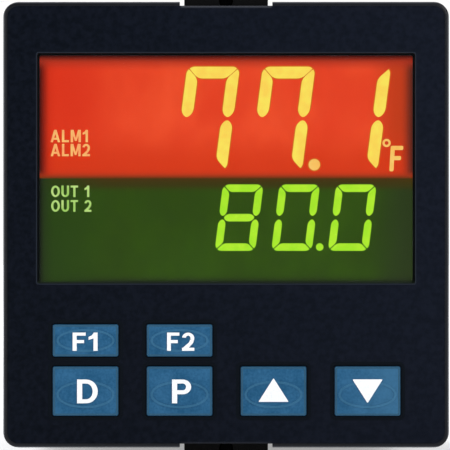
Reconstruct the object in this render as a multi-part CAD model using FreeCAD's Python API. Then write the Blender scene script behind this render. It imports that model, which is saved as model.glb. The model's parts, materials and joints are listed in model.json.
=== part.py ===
"""Panel-mounted PID temperature controller, quarter DIN size (96 mm square front).

Frame: +Z up, the front looks along -Y, the case runs back along +Y.
Origin: centre of the 92 mm panel cut-out, in the plane of the panel's front surface, where the gasket seats.
All sizes are millimetres. One STEP file is written for each sub-part.
"""

import FreeCAD
import Part

import math
import os
from FreeCAD import Vector

# ---- driving dimensions -------------------------------------------------------------------

CLEARANCE = 0.15  # general gap between a loose part and its pocket
SEAT_GAP = 0.05  # gap between parts that lie against each other
OVERCUT = 1.0  # how far a cutting block runs past the faces that it cuts
PLANE_TOLERANCE = 1e-6  # how far from a plane an edge may lie and still count as on it

# front
BEZEL_SIDE = 96.5
BEZEL_THICKNESS = 3.8
BEZEL_CORNER = 3.3
BEZEL_EDGE_RADIUS = 0.7
BEZEL_NOTCH_WIDTH = 20.1
BEZEL_NOTCH_DEPTH = 0.87
GASKET_THICKNESS = 1.2
GASKET_SIDE = 94.0
GASKET_HOLE = 91.3
OVERLAY_MARGIN = 0.95
OVERLAY_THICKNESS = 0.3
OVERLAY_RECESS = 0.2

# display
WINDOW_WIDTH = 81.8
WINDOW_HEIGHT = 49.9
WINDOW_Z = 12.2
WINDOW_CORNER = 0.5
WINDOW_THICKNESS = 1.4
WINDOW_SINK = 0.95  # how far the window lies below the overlay's face
WINDOW_LEDGE = 0.4  # width of the ledge that carries the window
LCD_WIDTH = 84.0
LCD_HEIGHT = 51.5  # of the front glass
LCD_CONTACT_STEP = 2.0  # the rear glass stands out this far at the bottom
LCD_POCKET_DEPTH = 0.5  # how far the glass reaches into the bezel
LCD_THICKNESS = 2.2
BACKLIGHT_WIDTH = 82.0
BACKLIGHT_THICKNESS = 3.6
BACKLIGHT_SPLIT_Z = 10.05  # line between the upper and the lower display line
BACKLIGHT_GAP = 0.8
BACKLIGHT_BEVEL = 0.8
HOLDER_WALL = 0.7
HOLDER_FLOOR = 1.0
HOLDER_FOOT = 4.0

# keys
KEY_WIDTH = 14.3
KEY_COLUMN_PITCH = 20.33
KEY_COLUMN_SHIFT = 0.09  # the four columns sit this far right of the centre
KEY_UPPER_Z = -25.05
KEY_LOWER_Z = -36.0
KEY_UPPER_HEIGHT = 7.1
KEY_LOWER_HEIGHT = 10.8
KEY_CORNER = 0.5
KEY_EDGE = 0.2
KEY_PROUD = 0.3  # how far a key stands above the overlay
KEY_FLANGE = 0.6
KEY_FLANGE_THICKNESS = 0.8
KEY_STEM_RADIUS = 2.0
KEY_TRAVEL = 0.5
KEY_RING_HALF_WIDTH = 6.3
KEY_RING_BAND = 0.5
KEY_UPPER_RING_HALF_HEIGHT = 2.5
KEY_LOWER_RING_HALF_HEIGHT = 2.95
KEY_LOWER_RING_DROP = 0.75  # the oval lies this far below the middle of a tall key
KEY_RING_HEIGHT = 0.12

# key switches on the display board
SWITCH_SIDE = 6.0
SWITCH_DEPTH = 3.5
SWITCH_BUTTON_RADIUS = 1.7
SWITCH_BUTTON_LENGTH = 3.2
SWITCH_BUTTON_SUNK = 1.0  # length of the button inside its housing

# case
CASE_SIDE = 91.0
CASE_WALL = 2.0
CASE_CORNER = 2.0
CASE_REAR = 98.0
COVER_THICKNESS = 2.0
COVER_EDGE = 0.8  # bevel round the rear face
COVER_SPIGOT_LENGTH = 6.0
COVER_SPIGOT_WALL = 1.5
HOOK_X = 20.3
HOOK_WIDTH = 5.0
HOOK_THICKNESS = 1.2
HOOK_LENGTH = 9.2
HOOK_TOOTH = 0.9
HOOK_TOOTH_LENGTH = 2.4
HOOK_ROOT = 0.5  # how deep a cover hook is rooted in its spigot
VENT_WIDTH = 2.0
VENT_LENGTH = 26.0
VENT_PITCH = 5.5
VENT_COUNT = 9
VENT_START = 60.0

# boards
BOARD_THICKNESS = 1.6
DISPLAY_BOARD_Y = 10.0
DISPLAY_BOARD_SIDE = 85.6
MAIN_BOARD_Z = 22.0  # outer face of each main board, above and below the centre
MAIN_BOARD_WIDTH = 86.2
MAIN_BOARD_FRONT = 14.0
MAIN_BOARD_REAR = 91.5
GUIDE_RIB = 1.5
BOARD_CORNER = 1.0
POST_RADIUS = 2.0
POST_PLACES = [(-36.0, 41.0), (36.0, 41.0), (-41.0, -40.0), (41.0, -40.0)]
BOARD_SCREW_RADIUS = 0.9
BOARD_SCREW_HEAD_RADIUS = 1.9
BOARD_SCREW_HEAD = 1.3
BOARD_SCREW_LENGTH = 7.0
CONNECTOR_WIDTH = 30.0
CONNECTOR_DEPTH = 7.5
CONNECTOR_HEIGHT = 5.0

# what the power board carries, on its inner face
TRANSFORMER_X = -21.0
TRANSFORMER_Y = 52.0
CORE_WIDTH = 32.0
CORE_DEPTH = 14.0
CORE_HEIGHT = 27.0
CORE_LIMB = 5.4
COIL_DEPTH = 25.0
COIL_HEIGHT = 15.6
COIL_CORNER = 4.0
CAPACITORS = [  # x, y, radius, height
    (6.0, 34.0, 6.2, 20.0),
    (22.0, 34.0, 6.2, 20.0),
    (34.0, 32.0, 4.0, 12.0),
]
CAN_GROOVE_HEIGHT = 2.4  # of the crimp above a can's base
CAN_GROOVE_RADIUS = 0.45
CAN_RIM_RADIUS = 0.7
RELAY_WIDTH = 15.5
RELAY_DEPTH = 19.0
RELAY_HEIGHT = 15.0
RELAY_FRONT = 55.0
RELAY_LEFT_SIDES = [4.0, 21.0]
RELAY_EDGE = 0.6
VARISTOR_PLACE = (-35.0, 76.0)
VARISTOR_RADIUS = 5.0
VARISTOR_THICKNESS = 4.0
VARISTOR_EDGE_RADIUS = 1.3

# what the input board carries, on its outer face
PROCESSOR_Y = 36.0
PROCESSOR_SIDE = 14.0
PROCESSOR_THICKNESS = 1.4
INPUT_CHIP_THICKNESS = 1.75
INPUT_CHIPS = [  # left side, front side, width, depth
    (-26.0, 44.0, 10.3, 7.5),
    (-26.0, 62.0, 10.3, 7.5),
    (24.0, 44.0, 5.0, 6.0),
    (24.0, 60.0, 5.0, 6.0),
]

# terminals
POLES = 5
POLE_PITCH = 7.62
STRIP_CENTRE_X = 21.0
STRIP_BASE_DEPTH = 7.0
STRIP_TOP = 41.0
STRIP_BOTTOM = 20.4
STRIP_INNER_WALL = 1.4
BARRIER = 1.5
BARRIER_LENGTH = 5.0
CONTACT_THICKNESS = 0.8
CONTACT_WIDTH = 5.6
CONTACT_HEIGHT = 13.0
TAIL_WIDTH = 3.0
TAIL_FRONT = 87.0
TERMINAL_SCREW_Z = 29.5
TERMINAL_SCREW_RADIUS = 1.5
TERMINAL_SCREW_LENGTH = 4.6
TERMINAL_HEAD_RADIUS = 2.6
TERMINAL_HEAD = 1.9
TERMINAL_HEAD_GAP = 0.5

# panel latch
LATCH_HOLE = 91.6
LATCH_FRONT = 8.0
LATCH_LENGTH = 10.0
LATCH_BAR = 1.4  # thickness of the bars above and below the case
LATCH_SIDE_BAR = 1.9
LATCH_CORNER = 3.5
LATCH_BOSS_WIDTH = 18.4
LATCH_BOSS_TOP = 52.2
LATCH_PLATE = 2.0
LATCH_CHEEK = 1.4
JACK_Z = 49.2
JACK_RADIUS = 1.5
JACK_BORE = 1.55
JACK_BOSS_RADIUS = 3.0
JACK_BOSS_LENGTH = 12.0
JACK_TIP = 9.5  # the tips lie a little way inside their barrels
JACK_LENGTH = 17.0
JACK_HEAD_RADIUS = 2.75
JACK_HEAD = 2.2
TAB_THICKNESS = 1.3
TAB_LENGTH = 13.0
TAB_HALF_HEIGHT = 6.0
TAB_GAP = 0.5  # free space between the tab and the case
TAB_LIP = 0.9
TOOTH_LENGTH = 1.8
TOOTH_BACK = 0.8  # distance from the tooth to the tab's lip
RACK_DEPTH = 0.9
RACK_BITE = 0.75
RACK_SLOT = 2.4
RACK_PITCH = 4.0
RACK_SLOTS_FORWARD = 3  # slots in front of the one that a tab is in
RACK_SLOTS_BACK = 4
RACK_SIDE_PLAY = 0.6

# ---- places worked out from the driving dimensions ----------------------------------------

BEZEL_BACK = -GASKET_THICKNESS
BEZEL_FRONT = BEZEL_BACK - BEZEL_THICKNESS
OVERLAY_BACK = BEZEL_FRONT + OVERLAY_RECESS
OVERLAY_FRONT = OVERLAY_BACK - OVERLAY_THICKNESS
OVERLAY_SIDE = BEZEL_SIDE - 2 * OVERLAY_MARGIN
WINDOW_FRONT = OVERLAY_FRONT + WINDOW_SINK
WINDOW_BACK = WINDOW_FRONT + WINDOW_THICKNESS
LEDGE_FRONT = WINDOW_BACK + SEAT_GAP
LEDGE_BACK = BEZEL_BACK - LCD_POCKET_DEPTH
LCD_FRONT = LEDGE_BACK + SEAT_GAP
LCD_BACK = LCD_FRONT + LCD_THICKNESS
VIEW_WIDTH = WINDOW_WIDTH - 2 * WINDOW_LEDGE
VIEW_HEIGHT = WINDOW_HEIGHT - 2 * WINDOW_LEDGE
LCD_TOP = WINDOW_Z + LCD_HEIGHT / 2
LCD_BOTTOM = WINDOW_Z - LCD_HEIGHT / 2
BACKLIGHT_FRONT = LCD_BACK + SEAT_GAP
BACKLIGHT_BACK = BACKLIGHT_FRONT + BACKLIGHT_THICKNESS
HOLDER_FRONT = BEZEL_BACK + SEAT_GAP
HOLDER_BACK = BACKLIGHT_BACK + SEAT_GAP + HOLDER_FLOOR
SWITCH_FRONT = DISPLAY_BOARD_Y - SWITCH_DEPTH
SWITCH_BUTTON_FRONT = SWITCH_FRONT + SWITCH_BUTTON_SUNK - SWITCH_BUTTON_LENGTH
SWITCH_BORE_DEPTH = SWITCH_BUTTON_SUNK + KEY_TRAVEL + 2 * CLEARANCE
KEY_FRONT = OVERLAY_FRONT - KEY_PROUD
KEY_FLANGE_FRONT = BEZEL_BACK + SEAT_GAP
KEY_FLANGE_BACK = KEY_FLANGE_FRONT + KEY_FLANGE_THICKNESS
CASE_INSIDE = CASE_SIDE - 2 * CASE_WALL
COVER_BACK = CASE_REAR + COVER_THICKNESS
COVER_SPIGOT_SIDE = CASE_INSIDE - 2 * CLEARANCE
COVER_SPIGOT_FRONT = CASE_REAR - COVER_SPIGOT_LENGTH
HOOK_FACE = CASE_INSIDE / 2 - CLEARANCE
STRIP_WIDTH = POLES * POLE_PITCH + BARRIER
STRIP_FRONT = COVER_BACK - STRIP_BASE_DEPTH
STRIP_BASE_BOTTOM = MAIN_BOARD_Z + CONTACT_THICKNESS + CLEARANCE
BARRIER_REAR = COVER_BACK + BARRIER_LENGTH
LATCH_REAR = LATCH_FRONT + LATCH_LENGTH
TAB_INSIDE = CASE_SIDE / 2 + TAB_GAP
TAB_OUTSIDE = TAB_INSIDE + TAB_THICKNESS
TAB_REAR = LATCH_REAR + TAB_LENGTH
TOOTH_REAR = TAB_REAR - TOOTH_BACK
POWER_BOARD_INNER = BOARD_THICKNESS - MAIN_BOARD_Z

COLUMN = [KEY_COLUMN_SHIFT + KEY_COLUMN_PITCH * step for step in (-1.5, -0.5, 0.5, 1.5)]
KEYS = {
    "f1": (COLUMN[0], KEY_UPPER_Z, KEY_UPPER_HEIGHT),
    "f2": (COLUMN[1], KEY_UPPER_Z, KEY_UPPER_HEIGHT),
    "display": (COLUMN[0], KEY_LOWER_Z, KEY_LOWER_HEIGHT),
    "program": (COLUMN[1], KEY_LOWER_Z, KEY_LOWER_HEIGHT),
    "up": (COLUMN[2], KEY_LOWER_Z, KEY_LOWER_HEIGHT),
    "down": (COLUMN[3], KEY_LOWER_Z, KEY_LOWER_HEIGHT),
}


# ---- building blocks ----------------------------------------------------------------------


def box(x_range, y_range, z_range):
    """A block between the given limits."""
    low = Vector(x_range[0], y_range[0], z_range[0])
    size = [r[1] - r[0] for r in (x_range, y_range, z_range)]
    return Part.makeBox(size[0], size[1], size[2], low)


def rod(x, z, radius, y_front, y_back):
    """A round bar along Y."""
    return Part.makeCylinder(radius, y_back - y_front, Vector(x, y_front, z), Vector(0, 1, 0))


def rounded_outline(width, height, radius, x, y, z):
    """A closed rounded rectangle in the plane of constant y, centred on (x, z)."""
    half_w, half_h = width / 2, height / 2
    corners = [(1, 1), (-1, 1), (-1, -1), (1, -1)]
    edges, ends = [], []
    for index, (side_x, side_z) in enumerate(corners):
        centre = Vector(x + side_x * (half_w - radius), y, z + side_z * (half_h - radius))
        start = index * math.pi / 2
        points = [
            centre + Vector(radius * math.cos(a), 0, radius * math.sin(a))
            for a in (start, start + math.pi / 4, start + math.pi / 2)
        ]
        edges.append(Part.Arc(*points).toShape())
        ends.append((points[0], points[2]))
    for index in range(4):
        leave, arrive = ends[index][1], ends[(index + 1) % 4][0]
        edges.append(Part.makeLine(leave, arrive))
    return Part.Wire(Part.__sortEdges__(edges))


def plate(width, height, radius, y_range, x=0.0, z=0.0):
    """A rounded rectangle extruded along Y."""
    outline = rounded_outline(width, height, radius, x, y_range[0], z)
    return Part.Face(outline).extrude(Vector(0, y_range[1] - y_range[0], 0))


def profile_along_x(points, x_range):
    """A closed (y, z) outline extruded along X."""
    corners = [Vector(x_range[0], y, z) for y, z in points]
    outline = Part.makePolygon(corners + corners[:1])
    return Part.Face(outline).extrude(Vector(x_range[1] - x_range[0], 0, 0))


def profile_along_z(points, z_range):
    """A closed (x, y) outline extruded along Z."""
    corners = [Vector(x, y, z_range[0]) for x, y in points]
    outline = Part.makePolygon(corners + corners[:1])
    return Part.Face(outline).extrude(Vector(0, 0, z_range[1] - z_range[0]))


def upside_down(shape):
    """The shape mirrored from the upper half to the lower."""
    return shape.mirror(Vector(0, 0, 0), Vector(0, 0, 1))


def edges_on_plane(shape, y):
    """Edges that lie wholly in the plane of constant y."""
    return [e for e in shape.Edges if all(abs(v.Point.y - y) < PLANE_TOLERANCE for v in e.Vertexes)]


# ---- front --------------------------------------------------------------------------------


def key_hole(x, z, height, y_range):
    """The opening a key slides in."""
    gap = 2 * CLEARANCE
    return plate(KEY_WIDTH + gap, height + gap, KEY_CORNER + CLEARANCE, y_range, x, z)


def bezel_hook(x):
    """A snap hook on the upper edge of the bezel, with its tooth pointing up."""
    tip = BEZEL_BACK + HOOK_LENGTH
    root = tip - HOOK_TOOTH_LENGTH
    outline = [
        (BEZEL_BACK, HOOK_FACE - HOOK_THICKNESS),
        (tip, HOOK_FACE - HOOK_THICKNESS),
        (tip, HOOK_FACE),
        (root, HOOK_FACE + HOOK_TOOTH),
        (root, HOOK_FACE),
        (BEZEL_BACK, HOOK_FACE),
    ]
    return profile_along_x(outline, (x - HOOK_WIDTH / 2, x + HOOK_WIDTH / 2))


def make_front_bezel():
    body = plate(BEZEL_SIDE, BEZEL_SIDE, BEZEL_CORNER, (BEZEL_FRONT, BEZEL_BACK))
    body = body.makeFillet(BEZEL_EDGE_RADIUS, edges_on_plane(body, BEZEL_FRONT))
    notch_floor = BEZEL_SIDE / 2 - BEZEL_NOTCH_DEPTH
    notch = box(
        (-BEZEL_NOTCH_WIDTH / 2, BEZEL_NOTCH_WIDTH / 2),
        (BEZEL_FRONT - OVERCUT, BEZEL_BACK + OVERCUT),
        (notch_floor, BEZEL_SIDE),
    )
    recess_side = OVERLAY_SIDE + 2 * SEAT_GAP
    recess_corner = BEZEL_CORNER - OVERLAY_MARGIN + SEAT_GAP
    cuts = [
        notch,
        upside_down(notch),
        plate(recess_side, recess_side, recess_corner, (BEZEL_FRONT - OVERCUT, OVERLAY_BACK)),
        plate(WINDOW_WIDTH, WINDOW_HEIGHT, WINDOW_CORNER, (BEZEL_FRONT, LEDGE_FRONT), z=WINDOW_Z),
        plate(VIEW_WIDTH, VIEW_HEIGHT, WINDOW_CORNER, (BEZEL_FRONT, BEZEL_BACK), z=WINDOW_Z),
        plate(
            LCD_WIDTH + 2 * CLEARANCE,
            LCD_HEIGHT + 2 * CLEARANCE,
            WINDOW_CORNER,
            (LEDGE_BACK, BEZEL_BACK),
            z=WINDOW_Z,
        ),
    ]
    for x, z, height in KEYS.values():
        cuts.append(key_hole(x, z, height, (BEZEL_FRONT, BEZEL_BACK)))
    body = body.cut(cuts)
    hooks = [bezel_hook(x) for x in (-HOOK_X, HOOK_X)]
    hooks += [upside_down(hook) for hook in hooks]
    posts = [rod(x, z, POST_RADIUS, BEZEL_BACK, DISPLAY_BOARD_Y) for x, z in POST_PLACES]
    pilot_start = DISPLAY_BOARD_Y - BOARD_SCREW_LENGTH
    pilots = [
        rod(x, z, BOARD_SCREW_RADIUS + SEAT_GAP, pilot_start, DISPLAY_BOARD_Y)
        for x, z in POST_PLACES
    ]
    return body.fuse(hooks + posts).cut(pilots).removeSplitter()


def make_front_overlay():
    sheet = plate(
        OVERLAY_SIDE, OVERLAY_SIDE, BEZEL_CORNER - OVERLAY_MARGIN, (OVERLAY_FRONT, OVERLAY_BACK)
    )
    through = (OVERLAY_FRONT - OVERCUT, OVERLAY_BACK + OVERCUT)
    cuts = [plate(WINDOW_WIDTH, WINDOW_HEIGHT, WINDOW_CORNER, through, z=WINDOW_Z)]
    cuts += [key_hole(x, z, height, through) for x, z, height in KEYS.values()]
    return sheet.cut(cuts)


def make_display_window():
    return plate(
        WINDOW_WIDTH - 2 * SEAT_GAP,
        WINDOW_HEIGHT - 2 * SEAT_GAP,
        WINDOW_CORNER,
        (WINDOW_FRONT, WINDOW_BACK),
        z=WINDOW_Z,
    )


def make_panel_gasket():
    corner = BEZEL_CORNER - (BEZEL_SIDE - GASKET_SIDE) / 2
    y_range = (BEZEL_BACK, 0.0)
    ring = plate(GASKET_SIDE, GASKET_SIDE, corner, y_range)
    return ring.cut(plate(GASKET_HOLE, GASKET_HOLE, CASE_CORNER + CLEARANCE, y_range))


def key_ring(x, z, half_height):
    """The raised oval on a key's face."""

    def oval(long_radius, short_radius):
        face_y = KEY_FRONT - KEY_RING_HEIGHT
        ellipse = Part.Ellipse(Vector(0, 0, 0), long_radius, short_radius)
        shape = ellipse.toShape()
        shape.rotate(Vector(0, 0, 0), Vector(1, 0, 0), 90)
        shape.translate(Vector(x, face_y, z))
        return Part.Face(Part.Wire(shape)).extrude(Vector(0, KEY_RING_HEIGHT, 0))

    outer = oval(KEY_RING_HALF_WIDTH, half_height)
    inner = oval(KEY_RING_HALF_WIDTH - KEY_RING_BAND, half_height - KEY_RING_BAND)
    return outer.cut(inner)


def make_key(x, z, height):
    """A key cap with its retaining flange and the stem that reaches the switch."""
    cap = plate(KEY_WIDTH, height, KEY_CORNER, (KEY_FRONT, KEY_FLANGE_FRONT), x, z)
    cap = cap.makeChamfer(KEY_EDGE, edges_on_plane(cap, KEY_FRONT))
    flange = plate(
        KEY_WIDTH + 2 * KEY_FLANGE,
        height + 2 * KEY_FLANGE,
        KEY_CORNER,
        (KEY_FLANGE_FRONT, KEY_FLANGE_BACK),
        x,
        z,
    )
    stem = rod(x, z, KEY_STEM_RADIUS, KEY_FLANGE_BACK, SWITCH_BUTTON_FRONT)
    if height > KEY_UPPER_HEIGHT:
        ring = key_ring(x, z - KEY_LOWER_RING_DROP, KEY_LOWER_RING_HALF_HEIGHT)
    else:
        ring = key_ring(x, z, KEY_UPPER_RING_HALF_HEIGHT)
    return cap.fuse([flange, stem, ring]).removeSplitter()


# ---- display and display board ------------------------------------------------------------


def make_lcd_glass():
    """The front glass is shorter than the rear one, which carries the contact ledge."""
    half = LCD_WIDTH / 2
    middle = (LCD_FRONT + LCD_BACK) / 2
    front = box((-half, half), (LCD_FRONT, middle), (LCD_BOTTOM, LCD_TOP))
    rear = box((-half, half), (middle, LCD_BACK), (LCD_BOTTOM - LCD_CONTACT_STEP, LCD_TOP))
    return front.fuse(rear).removeSplitter()


def make_backlight(z_low, z_high):
    """A light guide block with a bevel round its back."""
    height = z_high - z_low
    block = plate(
        BACKLIGHT_WIDTH,
        height,
        WINDOW_CORNER,
        (BACKLIGHT_FRONT, BACKLIGHT_BACK),
        z=(z_low + z_high) / 2,
    )
    return block.makeChamfer(BACKLIGHT_BEVEL, edges_on_plane(block, BACKLIGHT_BACK))


def make_lcd_holder():
    """A tray that carries the glass and both light guides and stands on the display board."""
    inner_half = LCD_WIDTH / 2 + CLEARANCE
    inner_bottom = LCD_BOTTOM - LCD_CONTACT_STEP - CLEARANCE
    inner_top = LCD_TOP + CLEARANCE
    outer_half = inner_half + HOLDER_WALL
    bottom = inner_bottom - HOLDER_WALL
    top = inner_top + HOLDER_WALL
    floor = HOLDER_BACK - HOLDER_FLOOR
    tray = box((-outer_half, outer_half), (HOLDER_FRONT, HOLDER_BACK), (bottom, top))
    pocket = box((-inner_half, inner_half), (HOLDER_FRONT, floor), (inner_bottom, inner_top))
    rib_half = BACKLIGHT_GAP / 2 - CLEARANCE
    divider = box(
        (-inner_half, inner_half),
        (BACKLIGHT_FRONT, floor),
        (BACKLIGHT_SPLIT_Z - rib_half, BACKLIGHT_SPLIT_Z + rib_half),
    )
    feet = []
    for x_range in ((-outer_half, HOLDER_FOOT - outer_half), (outer_half - HOLDER_FOOT, outer_half)):
        for z_range in ((bottom, bottom + HOLDER_FOOT), (top - HOLDER_FOOT, top)):
            feet.append(box(x_range, (HOLDER_BACK, DISPLAY_BOARD_Y), z_range))
    return tray.cut(pocket).fuse([divider] + feet).removeSplitter()


def make_display_board():
    y_range = (DISPLAY_BOARD_Y, DISPLAY_BOARD_Y + BOARD_THICKNESS)
    board = plate(DISPLAY_BOARD_SIDE, DISPLAY_BOARD_SIDE, BOARD_CORNER, y_range)
    holes = [rod(x, z, BOARD_SCREW_RADIUS + CLEARANCE, *y_range) for x, z in POST_PLACES]
    return board.cut(holes)


def make_display_board_screws():
    face = DISPLAY_BOARD_Y + BOARD_THICKNESS
    screws = []
    for x, z in POST_PLACES:
        shank = rod(x, z, BOARD_SCREW_RADIUS, face - BOARD_SCREW_LENGTH, face)
        head = rod(x, z, BOARD_SCREW_HEAD_RADIUS, face, face + BOARD_SCREW_HEAD)
        screws.append(shank.fuse(head).removeSplitter())
    return Part.makeCompound(screws)


def make_switch_housings():
    """One square key switch body behind each key, bored for its button."""
    half = SWITCH_SIDE / 2
    housings = []
    for x, z, _ in KEYS.values():
        body = box((x - half, x + half), (SWITCH_FRONT, DISPLAY_BOARD_Y), (z - half, z + half))
        bore = rod(
            x, z, SWITCH_BUTTON_RADIUS + CLEARANCE, SWITCH_FRONT, SWITCH_FRONT + SWITCH_BORE_DEPTH
        )
        housings.append(body.cut(bore))
    return Part.makeCompound(housings)


def make_switch_button(x, z):
    return rod(
        x, z, SWITCH_BUTTON_RADIUS, SWITCH_BUTTON_FRONT, SWITCH_BUTTON_FRONT + SWITCH_BUTTON_LENGTH
    )


# ---- case ---------------------------------------------------------------------------------


def guide_ribs(side_x, board_outer_z):
    """The two ribs on a side wall that a main board slides between."""
    wall = CASE_INSIDE / 2
    x_range = sorted((side_x * (wall - GUIDE_RIB), side_x * (wall + CASE_WALL / 2)))
    board_low, board_high = sorted(
        (board_outer_z, board_outer_z - math.copysign(BOARD_THICKNESS, board_outer_z))
    )
    gap = CLEARANCE
    y_range = (MAIN_BOARD_FRONT, MAIN_BOARD_REAR)
    return [
        box(x_range, y_range, (board_low - gap - GUIDE_RIB, board_low - gap)),
        box(x_range, y_range, (board_high + gap, board_high + gap + GUIDE_RIB)),
    ]


def rack_slots(side_x):
    """The row of shallow slots that a latch tab clicks into."""
    wall = CASE_SIDE / 2
    x_range = sorted((side_x * (wall - RACK_DEPTH), side_x * (wall + OVERCUT)))
    engaged = TOOTH_REAR - TOOTH_LENGTH / 2
    half = RACK_SLOT / 2
    slots = []
    z_half = TAB_HALF_HEIGHT + RACK_SIDE_PLAY
    for step in range(-RACK_SLOTS_FORWARD, RACK_SLOTS_BACK + 1):
        centre = engaged + step * RACK_PITCH
        slots.append(box(x_range, (centre - half, centre + half), (-z_half, z_half)))
    return slots


def through_wall(side):
    """The span that cuts right through the case wall on that side."""
    return sorted((side * (CASE_INSIDE / 2 - OVERCUT), side * (CASE_SIDE / 2 + OVERCUT)))


def hook_window(x, side_z):
    """The opening in the upper or lower wall that a bezel hook snaps into."""
    tip = BEZEL_BACK + HOOK_LENGTH
    half = HOOK_WIDTH / 2 + CLEARANCE
    root = tip - HOOK_TOOTH_LENGTH
    y_range = (root - CLEARANCE, tip + CLEARANCE)
    return box((x - half, x + half), y_range, through_wall(side_z))


def vent_spans():
    """The width that each cooling slot takes, from left to right."""
    centres = [(index - (VENT_COUNT - 1) / 2) * VENT_PITCH for index in range(VENT_COUNT)]
    return [(x - VENT_WIDTH / 2, x + VENT_WIDTH / 2) for x in centres]


def vents(side_z):
    """Cooling slots through the upper or lower wall."""
    y_range = (VENT_START, VENT_START + VENT_LENGTH)
    return [box(x_range, y_range, through_wall(side_z)) for x_range in vent_spans()]


def cover_hook(side_x):
    """A snap tooth on the side of the cover's spigot."""
    y_low = COVER_SPIGOT_FRONT
    outline = [
        (HOOK_FACE - HOOK_ROOT, y_low),
        (HOOK_FACE, y_low),
        (HOOK_FACE + HOOK_TOOTH, y_low + HOOK_TOOTH_LENGTH),
        (HOOK_FACE - HOOK_ROOT, y_low + HOOK_TOOTH_LENGTH),
    ]
    return profile_along_z([(side_x * x, y) for x, y in outline], (-HOOK_WIDTH, HOOK_WIDTH))


def make_case():
    y_range = (BEZEL_BACK, CASE_REAR)
    body = plate(CASE_SIDE, CASE_SIDE, CASE_CORNER, y_range)
    body = body.cut(plate(CASE_INSIDE, CASE_INSIDE, CASE_CORNER / 2, y_range))
    ribs = []
    for side_x in (-1, 1):
        for board_z in (-MAIN_BOARD_Z, MAIN_BOARD_Z):
            ribs += guide_ribs(side_x, board_z)
    cuts = rack_slots(-1) + rack_slots(1) + vents(-1) + vents(1)
    for side_z in (-1, 1):
        cuts += [hook_window(x, side_z) for x in (-HOOK_X, HOOK_X)]
    tooth_y = (
        COVER_SPIGOT_FRONT - CLEARANCE,
        COVER_SPIGOT_FRONT + HOOK_TOOTH_LENGTH + CLEARANCE,
    )
    z_half = HOOK_WIDTH + CLEARANCE
    for side_x in (-1, 1):
        cuts.append(box(through_wall(side_x), tooth_y, (-z_half, z_half)))
    return body.fuse(ribs).cut(cuts).removeSplitter()


def make_rear_cover():
    body = plate(CASE_SIDE, CASE_SIDE, CASE_CORNER, (CASE_REAR, COVER_BACK))
    body = body.makeChamfer(COVER_EDGE, edges_on_plane(body, COVER_BACK))
    spigot_y = (COVER_SPIGOT_FRONT, CASE_REAR)
    spigot = plate(COVER_SPIGOT_SIDE, COVER_SPIGOT_SIDE, CASE_CORNER / 2, spigot_y)
    bore = COVER_SPIGOT_SIDE - 2 * COVER_SPIGOT_WALL
    spigot = spigot.cut(plate(bore, bore, CASE_CORNER / 2, spigot_y))
    hooks = [cover_hook(side_x) for side_x in (-1, 1)]
    window_y = (CASE_REAR - OVERCUT, COVER_BACK + OVERCUT)
    cuts = []
    half = STRIP_WIDTH / 2 + CLEARANCE
    for side_x in (-1, 1):
        centre = side_x * STRIP_CENTRE_X
        upper = box(
            (centre - half, centre + half),
            window_y,
            (MAIN_BOARD_Z - CLEARANCE, STRIP_TOP + CLEARANCE),
        )
        cuts += [upper, upside_down(upper)]
    z_range = (-VENT_LENGTH / 2, VENT_LENGTH / 2)
    cuts += [box(x_range, window_y, z_range) for x_range in vent_spans()]
    return body.fuse([spigot] + hooks).cut(cuts).removeSplitter()


# ---- main boards and what they carry ------------------------------------------------------


def make_main_board(side_z):
    """side_z is 1 for the input board, above, and -1 for the power board, below."""
    half = MAIN_BOARD_WIDTH / 2
    z_range = sorted((side_z * (MAIN_BOARD_Z - BOARD_THICKNESS), side_z * MAIN_BOARD_Z))
    return box((-half, half), (MAIN_BOARD_FRONT, MAIN_BOARD_REAR), z_range)


def make_board_connector(side_z):
    """The header that joins a main board to the display board."""
    half = CONNECTOR_WIDTH / 2
    face = DISPLAY_BOARD_Y + BOARD_THICKNESS
    z_range = sorted((side_z * MAIN_BOARD_Z, side_z * (MAIN_BOARD_Z + CONNECTOR_HEIGHT)))
    return box((-half, half), (face, face + CONNECTOR_DEPTH), z_range)


def make_transformer_core():
    """Laminated shell core: an outer frame with a centre limb, standing on the power board."""
    low, high = POWER_BOARD_INNER, POWER_BOARD_INNER + CORE_HEIGHT
    y_range = (TRANSFORMER_Y - CORE_DEPTH / 2, TRANSFORMER_Y + CORE_DEPTH / 2)
    half = CORE_WIDTH / 2
    core = box((TRANSFORMER_X - half, TRANSFORMER_X + half), y_range, (low, high))
    windows = []
    for side in (-1, 1):
        x_range = sorted(
            (TRANSFORMER_X + side * CORE_LIMB, TRANSFORMER_X + side * (half - CORE_LIMB))
        )
        windows.append(box(x_range, y_range, (low + CORE_LIMB, high - CORE_LIMB)))
    return core.cut(windows)


def make_transformer_coil():
    """The wound bobbin round the core's centre limb."""
    middle = POWER_BOARD_INNER + CORE_HEIGHT / 2
    outer_width = CORE_WIDTH - 2 * CORE_LIMB - 2 * CLEARANCE
    inner_half = CORE_LIMB + CLEARANCE
    z_half = COIL_HEIGHT / 2
    coil = plate(outer_width, COIL_DEPTH, COIL_CORNER, (-z_half, z_half))
    coil.rotate(Vector(0, 0, 0), Vector(1, 0, 0), 90)
    coil.translate(Vector(TRANSFORMER_X, TRANSFORMER_Y, middle))
    limb_y = CORE_DEPTH / 2 + CLEARANCE
    limb = box(
        (TRANSFORMER_X - inner_half, TRANSFORMER_X + inner_half),
        (TRANSFORMER_Y - limb_y, TRANSFORMER_Y + limb_y),
        (middle - z_half, middle + z_half),
    )
    return coil.cut(limb)


def round_edges(shape, z=None):
    """The full circles of a turned shape, or only those at the height z."""
    circles = [edge for edge in shape.Edges if edge.Closed and len(edge.Vertexes) == 1]
    return [edge for edge in circles if z is None or abs(edge.Vertexes[0].Point.z - z) < PLANE_TOLERANCE]


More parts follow.
